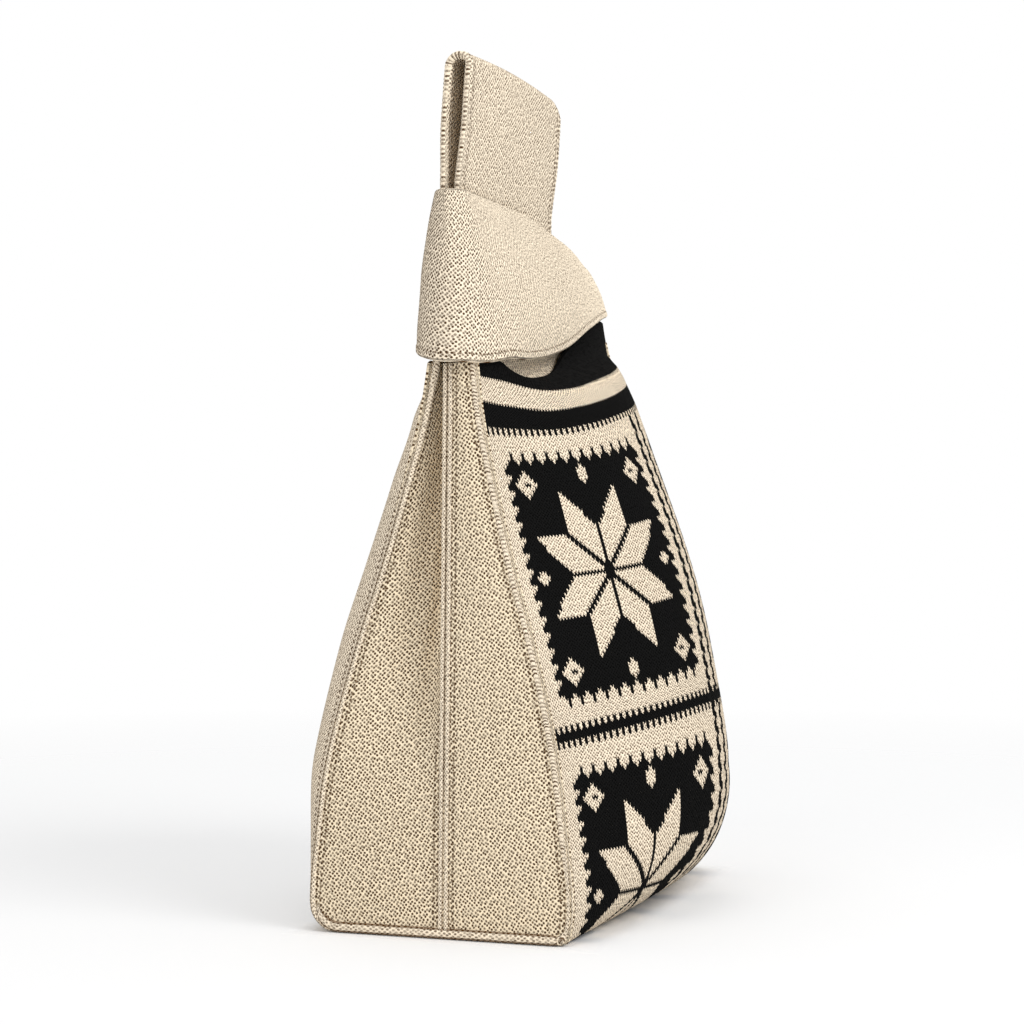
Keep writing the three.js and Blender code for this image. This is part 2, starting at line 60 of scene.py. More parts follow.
BULGE_SHARES = [(0.184, 0.84), (0.22, 0.88), (0.3, 0.93), (0.58, 1), (0.7, 0.975), (0.83, 0.88),
                (0.94, 0.77), (1, 0.65), (1.1, 0.45)]
FOOT_POINT, WALL_POINT, POINT_RISE = 0.7, 1.5, 60.0
REAR_WRAP, WRAP_LENGTH, WRAP_RISE = 9.0, 4.5, 70.0
CENTRE_SEAM_SHIFT = -2.0
PLEAT_DEPTH, PLEAT_START, GUSSET_PUFF = 10.0, 78.0, 1.8
MOUTH_TUCK = 1.5
HANDLE_WIDTH, HANDLE_NEAR_X, HANDLE_NEAR_ROOT_X = 116.0, -90.5, -80.0
HANDLE_WIDENS, HANDLE_WIDE, HANDLE_LEAN_START, HANDLE_LEAN = 235.0, 263.0, 300.0, 0.19
HANDLE_ROOT_HEIGHT, HANDLE_ROOT_TAPER, PINCH_HALF = 214.0, 12.0, 4.4
COLLAR_CENTRE_X, COLLAR_NEAR_X, COLLAR_FAR_X = -13.0, -110.0, 84.0
COLLAR_SEAT, COLLAR_SQUARENESS, COLLAR_TURN_SHARE = 0.6, 2.4, 0.45
COLLAR_TOP_NEAR_X, COLLAR_TOP_HALF, COLLAR_TOP = -99.0, 8.4, 296.0
COLLAR_REAR_DROP, COLLAR_SHOULDER_X, COLLAR_FAR_EDGE = 9.0, 8.0, 13.0
COLLAR_LOW_NEAR, COLLAR_LOW_FAR, COLLAR_LOW_START, COLLAR_LOW_END = 228.0, 258.0, -70.0, 110.0
TAIL_NEAR_X, TAIL_FAR_X, TAIL_ROOT, TAIL_TOP = 28.0, 80.0, 226.0, 258.0

# The cloth's own sizes in millimetres, where it lies a little off its solids. A pair of corners gives the
# lower fold's radius at the near and far end. A swell is how much, at what height and how far up and down
FOOT_BULGE, FOOT_ROUNDING, FOOT_POWER = 0.5, 60.0, 0.92
FRONT_CORNERS, REAR_CORNERS = (4.0, 13.0), (9.5, 6.0)
FRONT_TURN_IN, REAR_TURN_IN = 13.0, 24.0
REAR_WRAP_SWELL, REAR_WRAP_LOSS, REAR_WRAP_LOSS_RISE = (2.4, 128, 42), 1.6, (180, 205)
MOUTH_DIP, MOUTH_DIP_X, MOUTH_DIP_REACHES = 6.5, -54.0, (28.0, 90.0)
LOOP_HALF, LOOP_SPREAD, LOOP_TOP_NEAR, LOOP_TOP_FAR = 5.8, 30.0, 354.5, 355.0
LOOP_CROWN, LOOP_CORNER_DROP, LOOP_CORNER_START, LOOP_CORNER = 2, 4, 0.93, 0.07
COLLAR_FULLNESS, COLLAR_FAN, COLLAR_TOP_SAG = 1.58, 1.7, 4.5
LOWEST = 0.05

# Knitting: a stitch's width and height in millimetres. The strip that makes the front, base and rear
# has finer stitches, and their outer ends rise above their point
PLAIN_WALE, PLAIN_COURSE = 1.8, 1.9
STRAP_WALE, COLLAR_WALE = 2.8, 2.1
PANEL_WALES, COURSE, RISE = 128, 1.5, 0.8
PANEL_WALE = BASE_WIDTH / PANEL_WALES
PER_STITCH = 4
RELIEF = 0.08


def along(table, share):
    """Smooth value at a share along a short table of (share, value)."""
    xs, ys = np.array(table, float).T
    share = np.clip(share, xs[0], xs[-1])
    last = len(xs) - 1
    before, after = np.maximum(np.arange(last + 1) - 1, 0), np.minimum(np.arange(last + 1) + 1, last)
    slope = (ys[after] - ys[before]) / (xs[after] - xs[before])
    i = np.clip(np.searchsorted(xs, share, side="right") - 1, 0, last - 1)
    step = xs[i + 1] - xs[i]
    t = (share - xs[i]) / step
    bend = t * t * (3 - 2 * t)
    return (ys[i] + (ys[i + 1] - ys[i]) * bend + slope[i] * step * t * (1 - t) ** 2
            - slope[i + 1] * step * t * t * (1 - t))


def smooth(value, start, end):
    t = np.clip((value - start) / (end - start), 0, 1)
    return t * t * (3 - 2 * t)


def mix(a, b, share):
    return a + (b - a) * share


def swell(value, amount, centre, reach):
    return amount * np.exp(-((value - centre) / reach) ** 2)


# The bag's sections. side is -1 in front and 1 behind, end is -1 at the near gusset and 1 at the far one
def half_width(z):
    return mix(BASE_WIDTH, NECK_WIDTH, np.minimum(z / MOUTH_HEIGHT, 1)) / 2


def half_depth(z):
    return mix(NECK_DEPTH, BASE_DEPTH, along(DEPTH_SHARES, z / MOUTH_HEIGHT)) / 2


def bulge(z, side):
    belly = BELLY_BULGE * (REAR_BULGE_SHARE if side > 0 else 1)
    turned = np.clip(1 - z / FOOT_ROUNDING, 0, 1)
    full = belly * along(BULGE_SHARES, np.array(FOOT_ROUNDING / MOUTH_HEIGHT))
    foot = FOOT_BULGE + (full - FOOT_BULGE) * (1 - turned * turned) ** FOOT_POWER
    return np.where(z < FOOT_ROUNDING, foot, belly * along(BULGE_SHARES, z / MOUTH_HEIGHT))


def roundness(share, z):
    point = mix(FOOT_POINT, WALL_POINT, smooth(z, 0, POINT_RISE))
    return np.maximum(np.cos(np.pi / 2 * np.minimum(np.abs(share), 1)), 1e-9) ** point


def wrap(x, z, side):
    """How far the rear bulges out right beside its corners."""
    inside = np.maximum(half_width(z) - np.abs(x), 0)
    full = 0
    if side > 0:
        full = (REAR_WRAP * smooth(z, 0, WRAP_RISE) + swell(z, *REAR_WRAP_SWELL)
                - REAR_WRAP_LOSS * smooth(z, *REAR_WRAP_LOSS_RISE))
    return full * (1 - np.exp(-inside / WRAP_LENGTH))


def shift(z):
    rise = (z - SHIFT_START) / (MOUTH_HEIGHT - SHIFT_START)
    fall = (SHIFT_END - z) / (SHIFT_END - MOUTH_HEIGHT)
    return NECK_SHIFT * np.clip(np.minimum(rise, fall), 0, 1)


def collar_low(x):
    return mix(COLLAR_LOW_NEAR, COLLAR_LOW_FAR, smooth(x, COLLAR_LOW_START, COLLAR_LOW_END))


def foot_corner(share, side):
    """Radius of a panel's lower fold, from the near end to the far one."""
    return mix(*(REAR_CORNERS if side > 0 else FRONT_CORNERS), smooth(share, -1, 1))


def corner_reach(z, side, share):
    """Depth of the corner between panel and gusset."""
    radius = foot_corner(share, side)
    turned = np.clip(1 - z / radius, 0, 1)
    return half_depth(z) - side * shift(z) - radius * (1 - np.sqrt(1 - turned * turned))


def neck_reach(x, z, side):
    share = x / half_width(z)
    return half_depth(z) - side * shift(z) * share ** 2 + NECK_BULGE * (1 - share ** 2)


def panel_reach(x, z, side):
    share = x / half_width(z)
    body = corner_reach(z, side, share) + bulge(z, side) * roundness(share, z) + wrap(x, z, side)
    turn_end = collar_low(x)
    turn_start = turn_end - (REAR_TURN_IN if side > 0 else FRONT_TURN_IN)
    return mix(body, neck_reach(x, z, side), smooth(z, turn_start, turn_end))


def mouth_line(x):
    aside = x - MOUTH_DIP_X
    away = np.minimum(np.abs(aside) / np.where(aside < 0, *MOUTH_DIP_REACHES), 1)
    return collar_low(x) + MOUTH_TUCK - MOUTH_DIP * (1 + np.cos(np.pi * away)) / 2


WAVES, WAVE_LENGTHS = 7, (0.6, 1.6)


def ripple(x, z, seed, length):
    """Slow waves in the cloth, from -1 to 1, the same at each run."""
    rng = np.random.default_rng(seed)
    total = np.zeros(np.broadcast(x, z).shape)
    for _ in range(WAVES):
        angle, phase = rng.uniform(0, math.pi), rng.uniform(0, 2 * math.pi)
        wave = 2 * math.pi / (length * rng.uniform(*WAVE_LENGTHS))
        total = total + np.sin(wave * (x * math.cos(angle) + z * math.sin(angle)) + phase)
    return total / WAVES


# Dense sheets of stitches
def joined(*parts):
    """Coordinates side by side in a last axis."""
    return np.stack(np.broadcast_arrays(*parts), -1)


def unit(vectors):
    return vectors / np.maximum(np.linalg.norm(vectors, axis=-1, keepdims=True), 1e-9)


def outward_normals(points, facing):
    """A grid's normals on the side that facing points to, and whether they had to be turned over."""
    normal = unit(np.cross(np.gradient(points, axis=1), np.gradient(points, axis=0)))
    turned = float((normal * facing).sum()) < 0
    return (-normal if turned else normal), turned


def run_along(path):
    """Distance from a path's start to each of its points."""
    return np.r_[0, np.cumsum(np.linalg.norm(np.diff(path, axis=0), axis=1))]


def stitch_height(uv):
    """Height of plain knitting, from -1 in the holes between its strands to 1 on them."""
    return -np.cos(2 * np.pi * uv[..., 0]) * np.cos(2 * np.pi * uv[..., 1])


def turned_uv(along_row, up, degrees):
    angle = math.radians(degrees)
    return joined(along_row * math.cos(angle) + up * math.sin(angle),
                  up * math.cos(angle) - along_row * math.sin(angle))


class Patches:
    """Gathers grids of points into one mesh, in millimetres.

    Each point has its place in stitches, and its distance from an edge with its place along that edge.
    Each face has its yarn, 0 for beige and 1 for black."""

    def __init__(self):
        self.points, self.stitch, self.edge, self.faces, self.yarn, self.count = [], [], [], [], [], 0

    def add(self, points, stitch, edge, yarn=None, reverse=False):
        rows, columns = points.shape[:2]
        k = np.arange(rows * columns).reshape(rows, columns) + self.count
        quads = np.stack([k[:-1, :-1], k[:-1, 1:], k[1:, 1:], k[1:, :-1]], -1).reshape(-1, 4)
        self.faces.append(quads[:, ::-1] if reverse else quads)
        self.points.append(points.reshape(-1, 3))
        self.stitch.append(np.broadcast_to(stitch, (rows, columns, 2)).reshape(-1, 2))
        self.edge.append(np.broadcast_to(edge, (rows, columns, 2)).reshape(-1, 2))
        self.yarn.append(np.zeros(len(quads)) if yarn is None else np.asarray(yarn, float).reshape(-1))
        self.count += rows * columns

    def build(self, name, material):
        points = np.concatenate(self.points) * MM
        points[:, 2] = np.maximum(points[:, 2], LOWEST * MM)
        points[:, 1] += MIDDLE_PLANE * MM
        faces = np.concatenate(self.faces).astype(np.int32)
        mesh = bpy.data.meshes.new(name)
        mesh.vertices.add(len(points))
        mesh.vertices.foreach_set("co", points.astype(np.float32).ravel())
        mesh.loops.add(faces.size)
        mesh.loops.foreach_set("vertex_index", faces.ravel())
        mesh.polygons.add(len(faces))
        mesh.polygons.foreach_set("loop_start", np.arange(0, faces.size, 4, dtype=np.int32))
        mesh.polygons.foreach_set("use_smooth", np.ones(len(faces), bool))
        mesh.update(calc_edges=True)
        mesh.validate()
        for layer_name, values in (("stitch", self.stitch), ("edge", self.edge)):
            layer = mesh.uv_layers.new(name=layer_name)
            layer.data.foreach_set("uv", np.concatenate(values)[faces.ravel()].astype(np.float32).ravel())
        yarn = mesh.attributes.new("yarn", "FLOAT", "FACE")
        yarn.data.foreach_set("value", np.concatenate(self.yarn).astype(np.float32))
        mesh.materials.append(material)
        obj = bpy.data.objects.new(name, mesh)
        bpy.context.scene.collection.objects.link(obj)
        return obj


FAR_FROM_EDGES = (50.0, 0.0)

# A rim's inner rows: their share of the thickness, how far they swell out, and what the shader reads there
RIM_SHARES, RIM_SWELL = (0.25, 0.5, 0.75), 0.42
RIM_STITCH, RIM_EDGES = 0.25, (1.2, 1.5, 1.2)


def line_at(grid, index, is_row):
    return grid[index] if is_row else grid[:, index]


def knit_shell(name, points, uv, material, edge=FAR_FROM_EDGES, yarn=None, facing=None, relief=RELIEF,
               thick=FABRIC, lift=0.0, step=(4, 4)):
    """A sheet of knitting with a stitched outer face, a plainer inner face and rounded rims.

    step is how many of the outer face's rows and columns make one of the inner face."""
    facing = points * [1, 1, 0] if facing is None else np.asarray(facing, float)
    normal, turned = outward_normals(points, facing)
    edge = np.broadcast_to(edge, points.shape[:2] + (2,))
    outer = points + normal * (relief * (stitch_height(uv) - 1) + lift)[..., None]
    inner = points - normal * thick
    patches = Patches()
    patches.add(outer, uv, edge, yarn, not turned)
    rows, columns = (np.unique(np.r_[np.arange(0, size, every), size - 1])
                     for size, every in zip(points.shape[:2], step))
    pick = np.ix_(rows, columns)
    inner_yarn = None if yarn is None else yarn[np.ix_(rows[:-1], columns[:-1])]
    patches.add(inner[pick], uv[pick], edge[pick], inner_yarn, turned)
    for at, beside, is_row in ((0, 1, True), (-1, -2, True), (0, 1, False), (-1, -2, False)):
        out = unit(line_at(points, at, is_row) - line_at(points, beside, is_row))
        first, last = line_at(outer, at, is_row), line_at(inner, at, is_row)
        ring = [first, *(mix(first, last, share) + out * (RIM_SWELL * thick * math.sin(math.pi * share))
                         for share in RIM_SHARES), last]
        rim_uv, rim_edge = (np.stack([line_at(grid, at, is_row)] * len(ring)) for grid in (uv, edge))
        rim_uv[1:-1, :, 0] = RIM_STITCH
        rim_edge[1:-1, :, 0] = np.array(RIM_EDGES)[:, None]
        rim_yarn = None
        if yarn is not None:
            rim_yarn = np.stack([yarn[at] if is_row else np.zeros(len(yarn))] * (len(ring) - 1))
        patches.add(np.stack(ring), rim_uv, rim_edge, rim_yarn, ((at == 0) == is_row) == turned)
    return patches.build(name, material)


# Materials
class Shader:
    """Writes a material's nodes as plain expressions."""

    def __init__(self, name):
        self.material = bpy.data.materials.new(name)
        self.material.use_nodes = True
        self.tree = self.material.node_tree
        self.tree.nodes.clear()
        self.output = self.tree.nodes.new("ShaderNodeOutputMaterial")

    def feed(self, socket, value):
        if isinstance(value, bpy.types.NodeSocket):
            self.tree.links.new(value, socket)
        else:
            socket.default_value = value

    def node(self, kind, inputs=(), **settings):
        node = self.tree.nodes.new(kind)
        for key, value in settings.items():
            setattr(node, key, value)
        for key, value in dict(inputs).items():
            self.feed(node.inputs[key], value)
        return node

    def math(self, operation, a, b=None):
        values = {i: v for i, v in enumerate((a, b)) if v is not None}
        return self.node("ShaderNodeMath", values, operation=operation).outputs[0]

    def blend(self, share, a, b):
        node = self.node("ShaderNodeMix", data_type="RGBA")
        for socket, value in zip((node.inputs[0], node.inputs[6], node.inputs[7]), (share, a, b)):
            self.feed(socket, value)
        return node.outputs[2]

    def ramp(self, value, start, end, low, high):
        node = self.node("ShaderNodeMapRange", {0: value, 1: start, 2: end, 3: low, 4: high},
                         interpolation_type="SMOOTHSTEP")
        return node.outputs[0]

    def vector(self, operation, a, b):
        return self.node("ShaderNodeVectorMath", {0: a, 1: b}, operation=operation).outputs[0]

    def scale(self, colour, factor):
        node = self.node("ShaderNodeVectorMath", {0: colour, "Scale": factor}, operation="SCALE")
        return node.outputs[0]

    def parts(self, vector):
        return self.node("ShaderNodeSeparateXYZ", {0: vector}).outputs

    def noise(self, place, scale, detail, output=0):
        node = self.node("ShaderNodeTexNoise", {"Vector": place, "Scale": scale, "Detail": detail})
        return node.outputs[output]


def linear(red, green, blue):
    """A colour as it is seen, in 0 to 255, as Blender's linear colour."""
    def channel(v):
        v /= 255
        return v / 12.92 if v <= 0.04045 else ((v + 0.055) / 1.055) ** 2.4
    return (channel(red), channel(green), channel(blue), 1.0)


# The second beige is a warmer, slightly darker copy for the gussets and the short handle's ends, tinted to
# how the beige looks in shade: painted shade
BEIGE, SHADE_WARMED_BEIGE = linear(247, 231, 206), linear(246, 228, 197)
# The brown and the near black below are painted shade for the pits, needle holes and grooves
SHADE_BROWN, BLACK, BLACK_PIT_SHADE = linear(96, 61, 20), linear(17, 17, 17), (0.0015, 0.0015, 0.0015, 1)

# Pits lie on a diagonal lattice of stitches. Stray is in stitches, reaches in lattice steps, scales per metre
STRAY, STRAY_SCALE, LATTICE_RANDOMNESS = 0.5, 170.0, 0.36
PIT_FULL, PIT_END, SHALLOWEST_PIT = 0.1, 0.44, 0.5
# The strands between pits are painted lighter by up to BETWEEN_GLEAM: a painted highlight
BETWEEN_PITS, BETWEEN_END, BETWEEN_GLEAM = 0.3, 0.62, 0.2

# Needle holes beside a seam, in millimetres, and the groove along an edge, both painted dark as painted shade
HOLE_PITCH, HOLE_HALF, HOLE_SHARE, HOLE_STAGGER, HOLE_SHADE = 2.5, 0.6, 0.33, 0.37, 0.85
GROOVE_START, GROOVE_END, GROOVE_SHADE_AND_DEPTH = 0.1, 0.7, 0.9

# How much of the tone is even, and how much comes from fibres, wear and each stitch
TONE, FIBRE_TONE, WORN_TONE, STITCH_TONE = 0.66, 0.2, 0.16, 0.14
FIBRE_SCALE, WORN_SCALE = 1400.0, 22.0
FIBRE_HEIGHT, PIT_HEIGHT = 0.25, 1.1

# Between these places along X, in metres, the collar's pits lighten to this share towards its front. Its near
# end keeps darker pits, partly for its larger, stretch-opened holes and partly as painted shade where it
# turns away from the key light
STRETCH_SHADE_START, STRETCH_SHADE_END, STRETCH_SHADE_SHARE = -0.085, -0.03, 0.85


def knit_pits(s, place):
    """A stitch's pit, the distance from it and a number of its own."""
    stray = s.vector("SUBTRACT", s.noise(place, STRAY_SCALE, 2.0, "Color"), (0.5, 0.5, 0.5))
    uv = s.node("ShaderNodeUVMap", uv_map="stitch").outputs[0]
    u, v = s.parts(s.vector("ADD", s.scale(stray, STRAY), uv))[:2]
    lattice = s.node("ShaderNodeCombineXYZ", {0: s.math("ADD", u, v), 1: s.math("SUBTRACT", u, v)}).outputs[0]
    loops = s.node("ShaderNodeTexVoronoi",
                   {"Vector": lattice, "Scale": 1.0, "Randomness": LATTICE_RANDOMNESS},
                   voronoi_dimensions="2D").outputs
    away, own = loops["Distance"], s.parts(loops["Color"])[0]
    pit = s.math("MULTIPLY", s.ramp(away, PIT_FULL, PIT_END, 1.0, 0.0),
                 s.ramp(own, 0.0, 1.0, SHALLOWEST_PIT, 1.0))
    return pit, away, own


# A mask of the needle holes and, when grooved, of the groove along an edge: it lowers the bump and is painted
# dark as painted shade
def needle_holes(s, holes, grooved):
    edge = s.node("ShaderNodeUVMap", uv_map="edge").outputs[0]
    from_edge, run = s.parts(edge)[:2]
    hole = 0.0
    for k, distance in enumerate(holes):
        aside = s.math("DIVIDE", s.math("SUBTRACT", from_edge, distance), HOLE_HALF)
        beat = s.math("FRACT", s.math("ADD", s.math("DIVIDE", run, HOLE_PITCH), HOLE_STAGGER * k))
        ahead = s.math("DIVIDE", s.math("SUBTRACT", beat, 0.5), HOLE_SHARE)
        gone = s.math("ADD", s.math("MULTIPLY", aside, aside), s.math("MULTIPLY", ahead, ahead))
        hole = s.math("MAXIMUM", s.math("MAXIMUM", s.math("SUBTRACT", 1.0, gone), 0.0), hole)
    # The groove along an edge is painted dark as painted shade
    if grooved:
        hole = s.math("MAXIMUM", s.ramp(from_edge, GROOVE_START, GROOVE_END, GROOVE_SHADE_AND_DEPTH, 0.0), hole)
    return hole


def knit_material(name, light, pits, depth, holes=(), black=None, grooved=False, stretched_and_shaded=False):
    """Knitting, whose pits, needle holes and grooves are painted darker towards brown as painted shade. The
    number after light sets how dark its pits are painted, depth is its bump in millimetres, and holes the
    distances of its rows of needle holes from an edge."""
    s = Shader(name)
    place = s.node("ShaderNodeTexCoord").outputs["Object"]
    pit, away, own = knit_pits(s, place)
    hole = needle_holes(s, holes, grooved)
    # The collar's near end keeps darker pits: partly its larger holes, partly painted shade
    if stretched_and_shaded:
        pits = s.ramp(s.parts(place)[0], STRETCH_SHADE_START, STRETCH_SHADE_END, pits, pits * STRETCH_SHADE_SHARE)
    # Painted shade: pits, needle holes and grooves darken towards brown
    shade = s.math("ADD", s.math("MULTIPLY", pit, pits), s.math("MULTIPLY", hole, HOLE_SHADE))
    colour = s.blend(s.math("MINIMUM", shade, 1.0), light, SHADE_BROWN)
    if black is not None:
        chosen = s.node("ShaderNodeAttribute", attribute_name="yarn").outputs["Fac"]
        # Black yarn: its pits are painted near black, as painted shade
        colour = s.blend(chosen, colour, s.blend(pit, black, BLACK_PIT_SHADE))
    fibre, worn = s.noise(place, FIBRE_SCALE, 3.0), s.noise(place, WORN_SCALE, 3.0)
    tone = s.math("ADD", s.math("MULTIPLY", fibre, FIBRE_TONE), s.math("MULTIPLY", worn, WORN_TONE))
    tone = s.math("ADD", s.math("ADD", tone, s.math("MULTIPLY", own, STITCH_TONE)), TONE)
    # Painted highlight on the strands between pits
    tone = s.math("ADD", tone, s.ramp(away, BETWEEN_PITS, BETWEEN_END, 0.0, BETWEEN_GLEAM))
    height = s.math("SUBTRACT", s.math("MULTIPLY", fibre, FIBRE_HEIGHT), s.math("MULTIPLY", pit, PIT_HEIGHT))
    height = s.math("SUBTRACT", height, hole)
    bump = s.node("ShaderNodeBump", {"Height": height, "Strength": 1.0, "Distance": depth * MM})
    body = s.node("ShaderNodeBsdfPrincipled", {
        "Base Color": s.scale(colour, tone), "Roughness": 0.95, "Normal": bump.outputs[0],
        "Specular IOR Level": 0.02, "Sheen Weight": 0.015, "Sheen Roughness": 0.6,
        "Sheen Tint": (1.0, 0.95, 0.88, 1)})
    s.tree.links.new(body.outputs[0], s.output.inputs[0])
    return s.material


# pits sets how dark each knit's pits are painted, as painted shade, strongest on the gussets and the collar
panel_knit = knit_material("jacquard_knit", BEIGE, pits=0.95, depth=0.5, holes=(2.3,), black=BLACK)
plain_knit = knit_material("beige_knit", SHADE_WARMED_BEIGE, pits=1.3, depth=0.8, holes=(2.3, 4.1))
collar_knit = knit_material("beige_collar_knit", BEIGE, pits=1.2, depth=0.8, holes=(2.4,), stretched_and_shaded=True)
strap_knit = knit_material("beige_strap_knit", BEIGE, pits=0.85, depth=0.7, holes=(1.9, 3.9))
# seam_knit is grooved: painted shade along the seams' grooves and the welts' top and underside
seam_knit = knit_material("seam_knit", BEIGE, pits=0.8, depth=0.5, grooved=True)


# The pattern, counted in stitches: wales from the near edge, courses down from the mouth. A square is its
# first wale or course and the one after its last
FRONT_SQUARES, REAR_SQUARES = ((6, 57), (71, 122)), ((13, 57), (71, 115))
REAR_MARGIN = 11
SQUARE_COURSES = ((28, 93), (110, 175))
MIRROR_COURSE = 189
HEM_COURSES, STRIPE_START, STRIPE_END, FRINGE_END = 7, 14, 22, 24
PANEL_COURSES, BASE_COURSES = 154, 70
CHAINS = ((61, -1), (66, 1))
BARS, BAR_HALF, BAR_FRINGE = (101, MIRROR_COURSE - 1), 1, 3
TOOTH, NOTCH, TOOTH_PHASE = np.array([0, 2, 3, 2]), np.array([0, 0, 2, 1]), 3

# The star and the lozenges in a square, in millimetres
PETAL_INSET, PETAL_WIDTH, PETAL_SPLIT, PETAL_LENGTH = 1.0, 15.5, 1.6, 17.5
LOZENGE_INSET, LOZENGE_DROP, LOZENGE_SIZE, LOZENGE_HOLE = 10.8, 36, 6, 1.6
DOT_INSET, DOT_DROP, DOT_SIZE = 7.8, 39, 3.2


def is_star(across, down, half):
    """An eight-petalled knitted star with lozenges round it, as on old mittens. half is the square's."""
    x, z = np.abs(across), np.abs(down)
    a, b = np.maximum(x, z), np.minimum(x, z)
    petal = (b >= PETAL_INSET) & (b <= PETAL_WIDTH) & (a - b >= PETAL_SPLIT) & (a - b <= PETAL_LENGTH)
    corner = np.abs(x - half + LOZENGE_INSET) + np.abs(z - LOZENGE_DROP)
    dot = np.minimum(np.abs(x - half + DOT_INSET) + z, x + np.abs(z - DOT_DROP))
    return petal | (corner <= LOZENGE_SIZE) & (corner > LOZENGE_HOLE) | (dot <= DOT_SIZE)


def is_black(wale, course, squares=FRONT_SQUARES, margin=0):
    wale, course = np.broadcast_arrays(np.floor(wale), np.floor(course))
    course = np.where(course >= MIRROR_COURSE, 2 * MIRROR_COURSE - 1 - course, course)
    fringed = wale % 2 == 0
    black = (course < HEM_COURSES) | ((course >= STRIPE_START) & (course < STRIPE_END))
    black |= (course >= STRIPE_END) & (course < FRINGE_END) & fringed
    for left, right in squares:
        for top, bottom in SQUARE_COURSES:
            tooth = TOOTH[((wale - left - TOOTH_PHASE) % len(TOOTH)).astype(int)]
            notch = NOTCH[((course - top) % len(NOTCH)).astype(int)]
            inside = (wale >= left + notch) & (wale < right - notch)
            inside &= (course >= top + tooth) & (course < bottom - tooth)
            across = (wale + 0.5 - (left + right) / 2) * PANEL_WALE
            down = (course + 0.5 - (top + bottom) / 2) * COURSE
            black |= inside & ~is_star(across, down, (right - left) / 2 * PANEL_WALE)
    for line, outward in CHAINS:
        chain = (wale == line) | (wale == line - outward) & (course % 4 >= 2)
        chain |= (wale == line + outward) & (course % 4 < 3)
        black |= chain & (course >= FRINGE_END)
    for bar in BARS:
        black |= np.abs(course - bar) <= BAR_HALF
        black |= (np.abs(course - bar) <= BAR_FRINGE) & fringed
    return black & (wale >= margin) & (wale < PANEL_WALES - margin)


# Heights of a few courses, from the near edge to the far one
COURSE_SHARES = [-1, -0.8, -0.6, -0.4, -0.2, 0, 0.3, 0.6, 1]
COURSE_LINES = {
    HEM_COURSES: [221.5, 220.2, 217.8, 219.6, 223.5, 227.2, 232.4, 237, 241],
    14: [212, 210.2, 209.4, 212.3, 216.5, 220.8, 226, 231, 235.5],
    22: [201.2, 200.9, 201.4, 204.5, 208.6, 212.6, 218, 222.5, 226.5],
    24: [197.8, 198, 199, 202, 206.5, 210.3, 215.5, 220, 224],
    28: [191.2, 191.4, 192.6, 195.2, 198.9, 202.2, 206.5, 210, 213],
    93: [89, 91, 93.6, 95.9, 98.6, 99.8, 100, 100, 100],
    100: [80.5, 82.3, 85.2, 88.2, 90.8, 92, 92.5, 92.5, 92.5],
    105: [74.5, 75.9, 78.4, 81.4, 83.9, 85, 85.5, 85.5, 85.5],
    110: [67.3, 67.8, 70.2, 72.9, 75.8, 77, 77.3, 77.3, 77.3],
    130: [37, 37.3, 37.8, 38, 38.1, 38.1, 38, 37.6, 37.3],
    145: [14, 12.2, 10.9, 10.4, 10.4, 10.4, 10.7, 12.2, 14],
    150: [6.5, 5, 4.2, 3.8, 3.8, 3.8, 4, 5, 6.5],
    PANEL_COURSES: [0.2] * len(COURSE_SHARES),
}


def course_height(course, share):
    shape = np.broadcast(course, share).shape
    share = np.broadcast_to(share, shape)
    keys = np.array(list(COURSE_LINES), float)
    lines = np.array([along(list(zip(COURSE_SHARES, line)), share) for line in COURSE_LINES.values()])
    course = np.clip(np.broadcast_to(course, shape), keys[0], keys[-1])
    low = np.clip(np.searchsorted(keys, course, side="right") - 1, 0, len(keys) - 2)
    part = (course - keys[low]) / (keys[low + 1] - keys[low])
    first = np.take_along_axis(lines, low[None], 0)[0]
    second = np.take_along_axis(lines, low[None] + 1, 0)[0]
    return mix(first, second, part)


# Ripples: their height and length in millimetres, and their seed
PANEL_RIPPLE, GUSSET_RIPPLE = (1.1, 95, 5), (0.9, 80, 11)
STRAP_RIPPLE, COLLAR_RIPPLE = (0.5, 60, 21), (0.9, 70, 31)
FOOT_CALM, COLLAR_CALM = (2, 30), (22, 8)


def panel_point(share, course, side):
    """Point of a panel at a share of its width from -1 to 1 and at a course from the mouth."""
    z_line = course_height(np.maximum(course, HEM_COURSES), share)
    x = share * half_width(z_line)
    in_hem = mix(mouth_line(x), z_line, np.clip(course / HEM_COURSES, 0, 1))
    z = np.where(course < HEM_COURSES, in_hem, z_line)
    x = share * half_width(z)
    under_collar = smooth(z, *(collar_low(x) - below for below in COLLAR_CALM))
    calm = (1 - share ** 6) * smooth(z, *FOOT_CALM) * (1 - under_collar)
    height, length, seed = PANEL_RIPPLE
    soft = height * ripple(x, z, seed + (side > 0), length) * calm
    return joined(x, side * (panel_reach(x, z, side) + soft), z)


# Columns of points across the strip and of faces between them, in wales, and how many courses a stitch
# lies above its point there
wales = np.arange(PANEL_WALES * PER_STITCH + 1) / PER_STITCH
middle_wales = (np.arange(PANEL_WALES * PER_STITCH) + 0.5) / PER_STITCH
zigzag = RISE * np.abs(2 * (wales % 1) - 1)
STRAND_HEIGHT, PANEL_LOWEST = 0.12, 0.35


